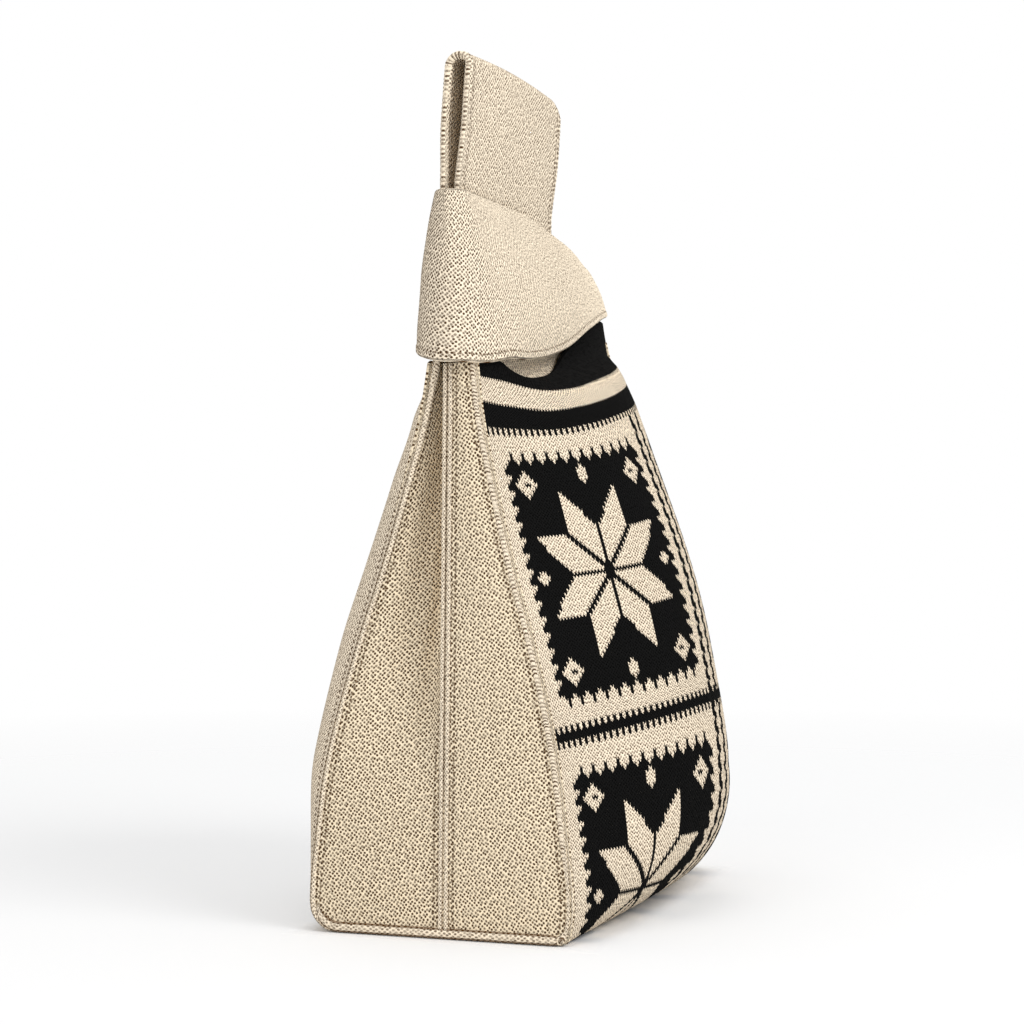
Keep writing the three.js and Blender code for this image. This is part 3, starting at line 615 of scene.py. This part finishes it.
def panel_grid(courses, side):
    """Points of a panel, evenly spaced along the cloth in each course."""
    shares = np.sin(np.linspace(-np.pi / 2, np.pi / 2, 241))
    whole = np.arange(math.floor(courses.min()), math.ceil(courses.max()) + 1)
    lines = []
    for course in whole:
        run = run_along(panel_point(shares, np.full_like(shares, course), side))
        lines.append(np.interp(np.linspace(0, run[-1], len(wales)), run, shares))
    lines = np.array(lines)
    low = np.clip(np.floor(courses).astype(int) - whole[0], 0, len(whole) - 2)
    part = courses - whole[0] - low
    k = np.arange(len(wales))[None, :]
    share = lines[low, k] * (1 - part) + lines[low + 1, k] * part
    return panel_point(share, courses, side)


def stitch_rows(first, last):
    rows = np.arange(first, last + 1, dtype=float)[:, None] - zigzag[None, :]
    return np.clip(rows, first, last)


def add_panel(name, side, nodes, squares, margin):
    courses = stitch_rows(0, PANEL_COURSES)
    points = panel_grid(courses, side)
    points[..., 2] = np.maximum(points[..., 2], PANEL_LOWEST)
    hem_end = course_height(np.full_like(courses, HEM_COURSES), points[..., 0] / half_width(points[..., 2]))
    v = np.where(courses < HEM_COURSES, (points[..., 2] - hem_end) / COURSE - HEM_COURSES, -courses)
    edge = joined(np.minimum(wales, PANEL_WALES - wales) * PANEL_WALE, points[..., 2])
    yarn = is_black(middle_wales[None, :], np.arange(PANEL_COURSES)[:, None], squares, margin)
    lift = -STRAND_HEIGHT * (1 + np.cos(4 * np.pi * wales))[None, :]
    obj = knit_shell(name, points, joined(wales, v), panel_knit, edge=edge, yarn=yarn,
                     facing=points * [0, 1, 0], step=(3, 4), relief=0, lift=lift)
    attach(obj, "bag")
    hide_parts(*nodes)


add_panel("front_knit", -1, ("front_panel", "front_mouth_hem"), FRONT_SQUARES, 0)
add_panel("rear_knit", 1, ("rear_panel", "rear_mouth_hem"), REAR_SQUARES, REAR_MARGIN)

# The base lies inside the folds: the height at which they are measured, how far inside, its own height,
# how much its borders rise and over what share of its depth
FOLD_HEIGHT, BASE_END_INSET, BASE_INSET = 0.4, 0.6, 0.4
BASE_HEIGHT, BORDER_RISE, BORDER_SHARE = 0.7, 0.5, 0.01


def add_base():
    courses = stitch_rows(PANEL_COURSES, PANEL_COURSES + BASE_COURSES)
    x = np.linspace(-1, 1, len(wales)) * (half_width(FOLD_HEIGHT) - BASE_END_INSET)
    front, rear = (panel_reach(x, np.full_like(x, FOLD_HEIGHT), side) - BASE_INSET for side in (-1, 1))
    across = (courses - PANEL_COURSES) / BASE_COURSES
    y = mix(-front, rear, across)
    border = np.minimum(np.minimum(across, 1 - across) / BORDER_SHARE, 1)
    z = BASE_HEIGHT + BORDER_RISE * (1 - border)
    yarn = is_black(middle_wales[None, :], PANEL_COURSES + np.arange(BASE_COURSES)[:, None])
    obj = knit_shell("base_knit", joined(x, y, z), joined(wales, -courses), panel_knit, yarn=yarn,
                     facing=(0, 0, -1), step=(3, 4), relief=0, thick=2.4, lift=-0.1)
    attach(obj, "bag")
    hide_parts("base_panel")


add_base()


# Gussets. v goes from the centre seam, 0, to the corner, 1. The pleat leans to the centre seam, and its
# valley has two swells across v, which grow up the gusset and flatten below its top
PLEAT_LEAN = 0.62
VALLEY_SWELLS = ((8, 0.19, 0.14), (7, 0.42, 0.26))
VALLEY_RISE, VALLEY_FALL, VALLEY_LOSS = (45, 125), (175, 215), 0.75
FULL_PUFF_DEPTH, PUFF_RISE = 50, (0, 26)
NECK_PUFF, NECK_PUFF_RISE = 1.2, (60, 200)
GUSSET_CALM = (4, 30)
GUSSET_HALF_CLOTH, GUSSET_FOOT, GUSSET_TURN = 58, 1.0, 10


def gusset_point(v, z, end, side, top):
    y = mix(side * CENTRE_SEAM_SHIFT, corner_reach(z, side, end), v)
    if side > 0:
        hollow = PLEAT_DEPTH * smooth(z, PLEAT_START, top) * np.sin(np.pi * v ** PLEAT_LEAN)
        valley = sum(swell(v, *numbers) for numbers in VALLEY_SWELLS)
        hollow = hollow + valley * smooth(z, *VALLEY_RISE) * (1 - VALLEY_LOSS * smooth(z, *VALLEY_FALL))
    else:
        puff = GUSSET_PUFF * np.minimum(half_depth(z) / FULL_PUFF_DEPTH, 1)
        hollow = -puff * np.sin(np.pi * v) * smooth(z, *PUFF_RISE)
        hollow = hollow - NECK_PUFF * smooth(z, *NECK_PUFF_RISE) * np.sin(np.pi * v) ** 2
    calm = np.sin(np.pi * np.clip(v, 0, 1)) * smooth(z, *GUSSET_CALM)
    height, length, seed = GUSSET_RIPPLE
    hollow = hollow + height * ripple(y, z, seed + 2 * (end > 0) + (side > 0), length) * calm
    return joined(end * (half_width(z) - hollow), side * y, z)


def add_gusset_half(word, end, side, top):
    rows = np.arange(GUSSET_FOOT, top + 0.01, PLAIN_COURSE / PER_STITCH)
    v = np.linspace(0, 1, int(GUSSET_HALF_CLOTH / (PLAIN_WALE / PER_STITCH)))
    z, share = np.meshgrid(rows, v, indexing="ij")
    points = gusset_point(share, z, end, side, top)
    run = np.linalg.norm(np.diff(points, axis=1), axis=2)
    run = np.concatenate([np.zeros((len(rows), 1)), np.cumsum(run, axis=1)], axis=1)
    uv = turned_uv(run / PLAIN_WALE, z / PLAIN_COURSE, GUSSET_TURN * side * end)
    edge = joined(np.minimum(run, run[:, -1:] - run), z)
    place = "rear" if side > 0 else "front"
    obj = knit_shell(f"{word}_gusset_{place}_knit", points, uv, plain_knit, edge=edge,
                     facing=points * [1, 0, 0], step=(6, 6), thick=2.6)
    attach(obj, "bag")
    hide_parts(f"{word}_gusset_{place}_half")


# Seams: two ridges of stitches with a groove between them, painted dark along its middle as painted shade.
# The steps and stitches are in millimetres
SEAM_STEP, SEAM_WALE, SEAM_COURSE = 0.5, 1.1, 1.6
SEAM_ROUNDNESS, SEAM_GROOVE_SHARE, SEAM_TUCK = 0.7, 0.16, 0.5
PANEL_INSET = 3.2


def rib(name, path, ways, out, nodes, reach=1.9, height=0.5, groove=0.5):
    """A seam along a path. ways are the two directions in which its ridges lie, and out the way up."""
    q = np.linspace(-1, 1, 25)
    rise = height * np.sin(np.pi * np.abs(q)) ** SEAM_ROUNDNESS - swell(q, groove, 0, SEAM_GROOVE_SHARE)
    rise = rise - SEAM_TUCK * np.abs(q) ** 6
    way = np.where((q < 0)[None, :, None], ways[0][:, None, :], ways[1][:, None, :])
    across, ahead = np.meshgrid(q * reach, run_along(path))
    uv = joined(across / SEAM_WALE, ahead / SEAM_COURSE)
    # Distance from the seam's middle, where the groove is painted dark as painted shade
    edge = joined(np.abs(across), ahead)
    points = path[:, None, :] + way * np.abs(q)[None, :, None] * reach
    points = points + out[:, None, :] * rise[None, :, None]
    patches = Patches()
    patches.add(points, uv, edge, reverse=not outward_normals(points, out[:, None, :])[1])
    obj = patches.build(name, seam_knit)
    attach(obj, "bag")
    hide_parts(*nodes)


def add_corner_rib(word, end, side, top):
    z = np.arange(0.6, top, SEAM_STEP)
    x = half_width(z)
    path = joined(end * x, side * corner_reach(z, side, end), z)
    slope = (panel_reach(x - PANEL_INSET, z, side) - panel_reach(x, z, side)) / PANEL_INSET
    along_panel = unit(joined(-end, side * slope, 0))
    along_gusset = joined(0, -side, 0 * z)
    out = unit(unit(joined(end * slope, side, 0)) + [end, 0, 0])
    place = "rear" if side > 0 else "front"
    rib(f"{word}_{place}_corner_rib", path, (along_panel, along_gusset), out,
        (f"{word}_{place}_corner_seam",), groove=1.0 if side < 0 else 0.5)


def add_centre_rib(word, end, top):
    z = np.arange(3.0, top, SEAM_STEP)
    path = joined(end * half_width(z), CENTRE_SEAM_SHIFT, z)
    to_front = joined(0, -1, 0 * z)
    rib(f"{word}_centre_rib", path, (to_front, -to_front), joined(end, 0, 0 * z),
        (f"{word}_gusset_centre_seam",), reach=2.3, height=0.75, groove=0.75)


# Welt along a gusset's foot: a roll whose section is painted dark above and below its middle, with painted
# shade where it meets the gusset and a painted contact shadow along its underside. It turns up round the
# lower corners, and thins out at its ends
WELT_RADIUS, WELT_HEIGHT, WELT_INSET, WELT_RELIEF = 2.15, 2.3, 0.7, 0.14
WELT_START, WELT_STOP, WELT_CORNER_TURN = -0.4 * math.pi, 0.95 * math.pi, 0.45 * math.pi
# Past these angles the welt is painted dark: above the top, painted shade where it meets the gusset; below
# the foot, a painted contact shadow, reaching a little further up by the last number
WELT_TOP, WELT_FOOT, WELT_FOOT_SHADOW_RISE = 0.9, 0.85, 0.12
WELT_END_SHARE, WELT_END_LENGTH, WELT_END_INSET, WELT_LOWEST = 0.35, 7, 1.0, 0.15
WELT_STITCH_ANGLE, WELT_COURSE = 0.8, 2.4


def add_welt(word, end):
    reach = half_depth(np.array(0.0)) - WELT_END_INSET
    turns = []
    for side in (-1, 1):
        radius, bend = float(foot_corner(end, side)), np.linspace(0, WELT_CORNER_TURN, 16)
        turns.append((side * (reach - radius + radius * np.sin(bend)), radius * (1 - np.cos(bend))))
    straight = np.arange(turns[0][0][0] + SEAM_STEP, turns[1][0][0], SEAM_STEP)
    y = np.r_[turns[0][0][::-1], straight, turns[1][0]]
    z = np.r_[turns[0][1][::-1], 0 * straight, turns[1][1]]
    run = run_along(joined(y, z))
    up = unit(joined(-np.gradient(z, y), 1))
    angle = np.linspace(WELT_START, WELT_STOP, 17)
    thin = mix(WELT_END_SHARE, 1, smooth(np.minimum(run, run[-1] - run), 0, WELT_END_LENGTH))
    radius = WELT_RADIUS * thin[:, None] * np.ones_like(angle)[None, :]
    uv = joined(angle / WELT_STITCH_ANGLE, run[:, None] / WELT_COURSE)
    radius = radius + WELT_RELIEF * stitch_height(uv)
    tall = radius * np.sin(angle)[None, :]
    points = joined(end * (half_width(z)[:, None] - WELT_INSET + radius * np.cos(angle)[None, :]),
                    y[:, None] + tall * up[:, :1], WELT_HEIGHT + z[:, None] + tall * up[:, 1:])
    points[..., 2] = np.maximum(points[..., 2], WELT_LOWEST)
    # Distance from the welt's painted dark bands: painted shade at its top and a painted contact shadow at
    # its underside
    to_painted_shade = np.minimum(np.abs(angle - WELT_TOP), np.abs(angle + WELT_FOOT) - WELT_FOOT_SHADOW_RISE)
    to_painted_shade = np.where((angle > WELT_TOP) | (angle < -WELT_FOOT), 0, to_painted_shade * WELT_RADIUS)
    facing = joined(end * np.cos(angle), 0, np.sin(angle))[None]
    patches = Patches()
    patches.add(points, uv, joined(to_painted_shade, run[:, None]), reverse=not outward_normals(points, facing)[1])
    obj = patches.build(f"{word}_welt_knit", seam_knit)
    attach(obj, "bag")
    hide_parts(f"{word}_base_welt")


for word, end, top in (("near", -1, NEAR_GUSSET_TOP), ("far", 1, FAR_GUSSET_TOP)):
    for side in (-1, 1):
        add_gusset_half(word, end, side, top)
        add_corner_rib(word, end, side, top)
    add_centre_rib(word, end, top)
    add_welt(word, end)


# Long handle: one strap from the front's mouth over its fold to the rear's
STRAP_TURN = 6
STRAP_CALM, FOLD_CALM = (300, 320), (0.02, 0.1)
STRAP_HEM_RISE, STRAP_HEM_EDGE = 0.3, (2.6, 3.9)
STRAP_HEM_GROOVE = (0.2, 1.9, 0.5)
FOLD_FACES_UP = 345


def handle_near(z):
    waist = mix(HANDLE_NEAR_ROOT_X, HANDLE_NEAR_X, smooth(z, HANDLE_WIDENS, HANDLE_WIDE))
    return waist + HANDLE_LEAN * np.maximum(z - HANDLE_LEAN_START, 0)


def handle_far(z):
    root = HANDLE_ROOT_TAPER * (1 - smooth(z, HANDLE_ROOT_HEIGHT, HANDLE_LEAN_START))
    return HANDLE_NEAR_X + HANDLE_WIDTH - root + HANDLE_LEAN * np.maximum(z - HANDLE_LEAN_START, 0)


def sewn_reach(x, z, side):
    """Where a handle's end lies against a panel's inner face."""
    slope_x = (panel_reach(x + 0.5, z, side) - panel_reach(x - 0.5, z, side))
    slope_z = (panel_reach(x, z + 0.5, side) - panel_reach(x, z - 0.5, side))
    return panel_reach(x, z, side) - FABRIC * np.sqrt(1 + slope_x ** 2 + slope_z ** 2) - SEWN_GAP


def strap_point(across, run):
    """across goes from the near edge, 0, to the far one, 1, and run from the front root, -1, over the fold
    to the rear root, 1."""
    corner = np.clip((across - LOOP_CORNER_START) / LOOP_CORNER, 0, 1)
    fold_top = mix(LOOP_TOP_NEAR, LOOP_TOP_FAR, across) + LOOP_CROWN * np.sin(np.pi * across)
    fold_top = fold_top - LOOP_CORNER_DROP * corner ** 2
    straight = fold_top - LOOP_HALF
    length = straight - HANDLE_ROOT_HEIGHT
    side = np.where(run < 0, -1, 1)
    up = (1 - np.abs(run)) * (length + math.pi * LOOP_HALF / 2)
    z = HANDLE_ROOT_HEIGHT + np.minimum(up, length)
    x = mix(handle_near(z), handle_far(z), across)
    leave = collar_low(x)
    low = np.minimum(z, leave)
    reach = np.where(side < 0, sewn_reach(x, low, -1), sewn_reach(x, low, 1))
    tail = mix(reach, PINCH_HALF, smooth(z, leave, COLLAR_TOP))
    loop = mix(PINCH_HALF, LOOP_HALF, smooth(z, COLLAR_TOP, COLLAR_TOP + LOOP_SPREAD))
    angle = np.clip((up - length) / LOOP_HALF, 0, math.pi / 2)
    y = np.where(up > length, LOOP_HALF * np.cos(angle), np.where(z < COLLAR_TOP, tail, loop))
    z = np.where(up > length, straight + LOOP_HALF * np.sin(angle), z)
    x = mix(handle_near(z), handle_far(z), across)
    height, wave, seed = STRAP_RIPPLE
    soft = height * ripple(x, z, seed, wave) * smooth(z, *STRAP_CALM) * smooth(np.abs(run), *FOLD_CALM)
    return joined(x, side * y + soft, z)


def add_strap():
    whole = (LOOP_TOP_NEAR - LOOP_HALF - HANDLE_ROOT_HEIGHT) + math.pi * LOOP_HALF / 2
    rows = int(2 * whole / (PLAIN_COURSE / PER_STITCH))
    columns = int(HANDLE_WIDTH / (STRAP_WALE / PER_STITCH))
    run, across = np.meshgrid(np.linspace(-1, 1, rows), np.linspace(0, 1, columns), indexing="ij")
    points = strap_point(across, run)
    width = across * HANDLE_WIDTH
    uv = turned_uv(width / STRAP_WALE, run * whole / PLAIN_COURSE, STRAP_TURN)
    near = np.minimum(width, HANDLE_WIDTH - width)
    edge = joined(near, run * whole)
    hem = STRAP_HEM_RISE * (1 - smooth(near, *STRAP_HEM_EDGE)) - swell(near, *STRAP_HEM_GROOVE)
    facing = joined(0, points[..., 1], np.where(points[..., 2] > FOLD_FACES_UP, 5, 0))
    obj = knit_shell("long_handle_knit", points, uv, strap_knit, edge=edge, facing=facing, lift=hem)
    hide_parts("long_handle_front_tail", "long_handle_rear_tail", "long_handle_loop",
                "long_handle_near_hem", "long_handle_far_hem")
    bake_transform(obj)


add_strap()


# Short handle, round the long handle's neck. t goes round it from the far end, -1, by the front, the near
# end, 0, and the rear back to the far end, 1, and way is its share without a sign
COLLAR_FAR_TOP = float(collar_low(np.array(COLLAR_FAR_X))) + COLLAR_FAR_EDGE
COLLAR_CLOTH, COLLAR_TURN, COLLAR_MEASURED_AT = 68, 8, 0.25
COLLAR_HEM_RISE, COLLAR_HEM_EDGE, COLLAR_SINK = 0.35, (1.6, 2.8), 0.5
CREASE_TURN, CREASE_POWER = 1.6, 1.2

# How far the cloth's lower edge stands above its solid's, and between which places along X that grows.
# Then what the rear adds, in t: its edge stands higher, its top lower, and it is fuller below than above
EDGE_RAISES = ((3.3, -100, -70), (1.7, -10, 35))
REAR_RAISE, REAR_RAISE_START, REAR_RAISE_END = 5, (-0.02, 0.28), (0.5, 0.9)
REAR_DROP_START, SAG_START, SAG_END = 0.3, (-30, 30), (60, COLLAR_FAR_X)
REAR_FULL, REAR_FLAT, REAR_FULL_START, REAR_FULL_END = 2.6, 2, (0, 0.25), (0.7, 1)


def near_end(way, half):
    """The collar's lower line from its near tip to the middle: a squared quarter of an ellipse."""
    angle = (np.pi / 2) * np.minimum(way / COLLAR_TURN_SHARE, 1)
    power = 2 / COLLAR_SQUARENESS
    return (COLLAR_CENTRE_X - (COLLAR_CENTRE_X - COLLAR_NEAR_X) * np.maximum(np.cos(angle), 0) ** power,
            half * np.sin(angle) ** power)


def collar_foot(t, side, way):
    """The collar's lower line: x, y and z."""
    seat = FABRIC + COLLAR_SEAT
    centre_low = collar_low(np.array(COLLAR_CENTRE_X))
    x_near, y_near = near_end(way, neck_reach(COLLAR_CENTRE_X, centre_low, side) + seat)
    out = (COLLAR_CENTRE_X - x_near) / (COLLAR_CENTRE_X - COLLAR_NEAR_X)
    x_far = mix(COLLAR_CENTRE_X, COLLAR_FAR_X, (way - COLLAR_TURN_SHARE) / (1 - COLLAR_TURN_SHARE))
    y_far = neck_reach(x_far, collar_low(x_far), side) + seat
    turning = way < COLLAR_TURN_SHARE
    x = np.where(turning, x_near, x_far)
    y = np.where(turning, side * y_near - NECK_SHIFT * out ** 2, side * y_far)
    raised = sum(amount * smooth(x, start, end) for amount, start, end in EDGE_RAISES)
    rear = REAR_RAISE * smooth(t, *REAR_RAISE_START) * (1 - smooth(t, *REAR_RAISE_END))
    return x, y, collar_low(x) + raised + rear


def collar_crown(t, side, way):
    """The collar's upper line: x, y and z."""
    centre = COLLAR_TOP_NEAR_X + COLLAR_TOP_HALF
    arc = COLLAR_TOP_HALF * np.pi / 2
    run = (arc + COLLAR_FAR_X - centre) * way ** COLLAR_FAN
    angle = np.minimum(run / COLLAR_TOP_HALF, np.pi / 2)
    x = centre - COLLAR_TOP_HALF * np.cos(angle) + np.maximum(run - arc, 0)
    share = np.maximum(x - COLLAR_SHOULDER_X, 0) / (COLLAR_FAR_X - COLLAR_SHOULDER_X)
    z = mix(COLLAR_FAR_TOP, COLLAR_TOP, np.sqrt(np.maximum(1 - share ** 2, 0)))
    z = z - COLLAR_REAR_DROP * smooth(t, REAR_DROP_START, 2 * COLLAR_TURN_SHARE) * (1 - share)
    z = z - COLLAR_TOP_SAG * smooth(x, *SAG_START) * (1 - smooth(x, *SAG_END))
    return x, side * COLLAR_TOP_HALF * np.sin(angle), z


def collar_surface(t, height_share):
    side, way = np.where(t < 0, -1.0, 1.0), np.abs(t)
    low_x, low_y, bottom = collar_foot(t, side, way)
    high_x, high_y, top = collar_crown(t, side, way)
    full = 1 - height_share ** COLLAR_FULLNESS
    rear = smooth(t, *REAR_FULL_START) * (1 - smooth(t, *REAR_FULL_END))
    fullness = rear * (REAR_FULL * (1 - height_share ** 2) - REAR_FLAT * height_share ** 3)
    return joined(mix(high_x, low_x, full), mix(high_y, low_y, full) + fullness,
                  mix(bottom, top, height_share))


def add_collar():
    t_dense = np.linspace(-1, 1, 1201)
    run = run_along(collar_surface(t_dense, np.full_like(t_dense, COLLAR_MEASURED_AT)))
    even_run = np.linspace(0, run[-1], int(run[-1] / (COLLAR_WALE / PER_STITCH)))
    t = np.interp(even_run, run, t_dense)
    rows = int(COLLAR_CLOTH / (PLAIN_COURSE / PER_STITCH))
    share, tt = np.meshgrid(np.linspace(0, 1, rows), t, indexing="ij")
    points = collar_surface(tt, share)
    tall = np.linalg.norm(np.diff(points, axis=0), axis=2)
    tall = np.concatenate([np.zeros((1, len(t))), np.cumsum(tall, axis=0)], axis=0)
    along_run = np.broadcast_to(even_run, tall.shape)
    height, length, seed = COLLAR_RIPPLE
    crease = height * ripple(along_run, CREASE_TURN * tall, seed, length)
    crease = crease * np.sin(np.pi * share) ** CREASE_POWER
    points = points + outward_normals(points, points * [1, 1, 0])[0] * crease[..., None]
    uv = turned_uv(along_run / COLLAR_WALE, tall / PLAIN_COURSE, COLLAR_TURN)
    edge = joined(tall, along_run)
    hem = COLLAR_HEM_RISE * (1 - smooth(tall, *COLLAR_HEM_EDGE)) - COLLAR_SINK
    obj = knit_shell("short_handle_knit", points, uv, collar_knit, edge=edge, thick=2.4, lift=hem)
    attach(obj, "short_handle")
    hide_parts("short_handle_collar", "short_handle_lower_hem", "short_handle_upper_hem")


add_collar()


TAIL_ROW, TAIL_COLUMN = 0.75, 0.6


def add_short_tail(place, side):
    z, x = np.meshgrid(np.arange(TAIL_ROOT, TAIL_TOP, TAIL_ROW),
                       np.arange(TAIL_NEAR_X, TAIL_FAR_X, TAIL_COLUMN), indexing="ij")
    y = sewn_reach(x, np.minimum(z, mouth_line(x)), side)
    points = joined(x, side * y, z)
    uv = joined((x - TAIL_NEAR_X) / PLAIN_WALE, z / PLAIN_COURSE)
    obj = knit_shell(f"short_handle_{place}_end_knit", points, uv, plain_knit, facing=points * [0, 1, 0],
                     relief=0.1, step=(2, 2))
    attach(obj, "bag")
    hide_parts(f"short_handle_{place}_tail")


add_short_tail("front", -1)
add_short_tail("rear", 1)


# Floor, light and camera, in metres. The camera sees the floor fade into the white background away from
# the bag, and the whole floor close to the foot, where it keeps the contact shadow
FLOOR_HALF, FADE_START, FADE_LENGTH, FADE_LEAST = 3, 0.25, 0.75, 0.4
FOOT_HALF_X, FOOT_HALF_Y, FOOT_STRIP = 0.105, 0.056, 0.012


def add_floor():
    s = Shader("floor_paper")
    place = s.node("ShaderNodeTexCoord").outputs["Object"]
    away = s.node("ShaderNodeVectorMath", {0: place}, operation="LENGTH").outputs["Value"]
    fade = s.math("DIVIDE", s.math("SUBTRACT", away, FADE_START), FADE_LENGTH)
    fade = s.math("MINIMUM", s.math("MAXIMUM", fade, 0.0), 1.0)
    seen = s.node("ShaderNodeLightPath").outputs["Is Camera Ray"]
    paper = s.node("ShaderNodeBsdfDiffuse", {"Color": (0.9, 0.9, 0.9, 1)})
    clear = s.node("ShaderNodeBsdfTransparent")
    x, y = s.parts(place)[:2]
    beside = s.math("MAXIMUM", s.math("SUBTRACT", s.math("ABSOLUTE", x), FOOT_HALF_X),
                    s.math("SUBTRACT", s.math("ABSOLUTE", y), FOOT_HALF_Y))
    fade = s.math("ADD", s.math("MULTIPLY", fade, 1 - FADE_LEAST), FADE_LEAST)
    share = s.math("MULTIPLY", seen, s.math("MULTIPLY", fade, s.ramp(beside, 0.0, FOOT_STRIP, 0.0, 1.0)))
    both = s.node("ShaderNodeMixShader", {0: share, 1: paper.outputs[0], 2: clear.outputs[0]})
    s.tree.links.new(both.outputs[0], s.output.inputs[0])
    mesh = bpy.data.meshes.new("floor")
    corners = [(x * FLOOR_HALF, y * FLOOR_HALF, 0) for x, y in ((-1, -1), (1, -1), (1, 1), (-1, 1))]
    mesh.from_pydata(corners, [], [(0, 1, 2, 3)])
    mesh.materials.append(s.material)
    floor = bpy.data.objects.new("floor", mesh)
    bpy.context.scene.collection.objects.link(floor)


def add_lamp(name, place, target, size, power):
    data = bpy.data.lights.new(name, "AREA")
    data.shape, data.size, data.energy = "DISK", size, power
    lamp = bpy.data.objects.new(name, data)
    lamp.location = place
    lamp.rotation_mode = "QUATERNION"
    lamp.rotation_quaternion = (Vector(target) - Vector(place)).to_track_quat("-Z", "Y")
    bpy.context.scene.collection.objects.link(lamp)


def add_world():
    world = bpy.data.worlds.new("studio")
    world.use_nodes = True
    tree = world.node_tree
    tree.nodes.clear()
    output = tree.nodes.new("ShaderNodeOutputWorld")
    seen = tree.nodes.new("ShaderNodeLightPath")
    light = tree.nodes.new("ShaderNodeBackground")
    light.inputs["Color"].default_value = (0.98, 0.985, 1.0, 1)
    light.inputs["Strength"].default_value = 0.55
    white = tree.nodes.new("ShaderNodeBackground")
    white.inputs["Color"].default_value = (1, 1, 1, 1)
    both = tree.nodes.new("ShaderNodeMixShader")
    share = seen.outputs["Is Camera Ray"]
    for ray in ("Is Glossy Ray", "Is Transmission Ray"):
        larger = tree.nodes.new("ShaderNodeMath")
        larger.operation = "MAXIMUM"
        tree.links.new(share, larger.inputs[0])
        tree.links.new(seen.outputs[ray], larger.inputs[1])
        share = larger.outputs[0]
    for k, socket in enumerate((share, light.outputs[0], white.outputs[0])):
        tree.links.new(socket, both.inputs[k])
    tree.links.new(both.outputs[0], output.inputs[0])
    bpy.context.scene.world = world


# The photograph's camera: focal length and shift in its pixels, place and heading in metres
PHOTO_SIZE, FOCAL, SHIFT_UP, SENSOR = 1024, 2237, 8, 36.0
CAMERA_PLACE, CAMERA_FORWARD = (-0.9284, -0.3114, 0.165), (0.9455, 0.3256, 0)


def add_camera():
    data = bpy.data.cameras.new("photo_camera")
    data.sensor_width, data.lens = SENSOR, SENSOR * FOCAL / PHOTO_SIZE
    data.shift_y = SHIFT_UP / PHOTO_SIZE
    data.clip_start, data.clip_end = 0.01, 20
    camera = bpy.data.objects.new("photo_camera", data)
    forward, up = Vector(CAMERA_FORWARD), Vector((0, 0, 1))
    right = forward.cross(up).normalized()
    columns = zip(right, up, -forward, CAMERA_PLACE)
    camera.matrix_world = Matrix((*columns, (0, 0, 0, 1)))
    bpy.context.scene.collection.objects.link(camera)
    bpy.context.scene.camera = camera


add_floor()
add_world()
add_lamp("key", (-0.5, -1.6, 1.5), (0, 0, 0.18), 1.3, 22)
add_lamp("fill", (-1.7, 0.3, 0.9), (0, 0, 0.18), 1.4, 7)
add_lamp("top", (0.2, 0.1, 1.9), (0, 0, 0.1), 1.6, 10)
add_camera()
bpy.context.scene.view_settings.view_transform = "Standard"
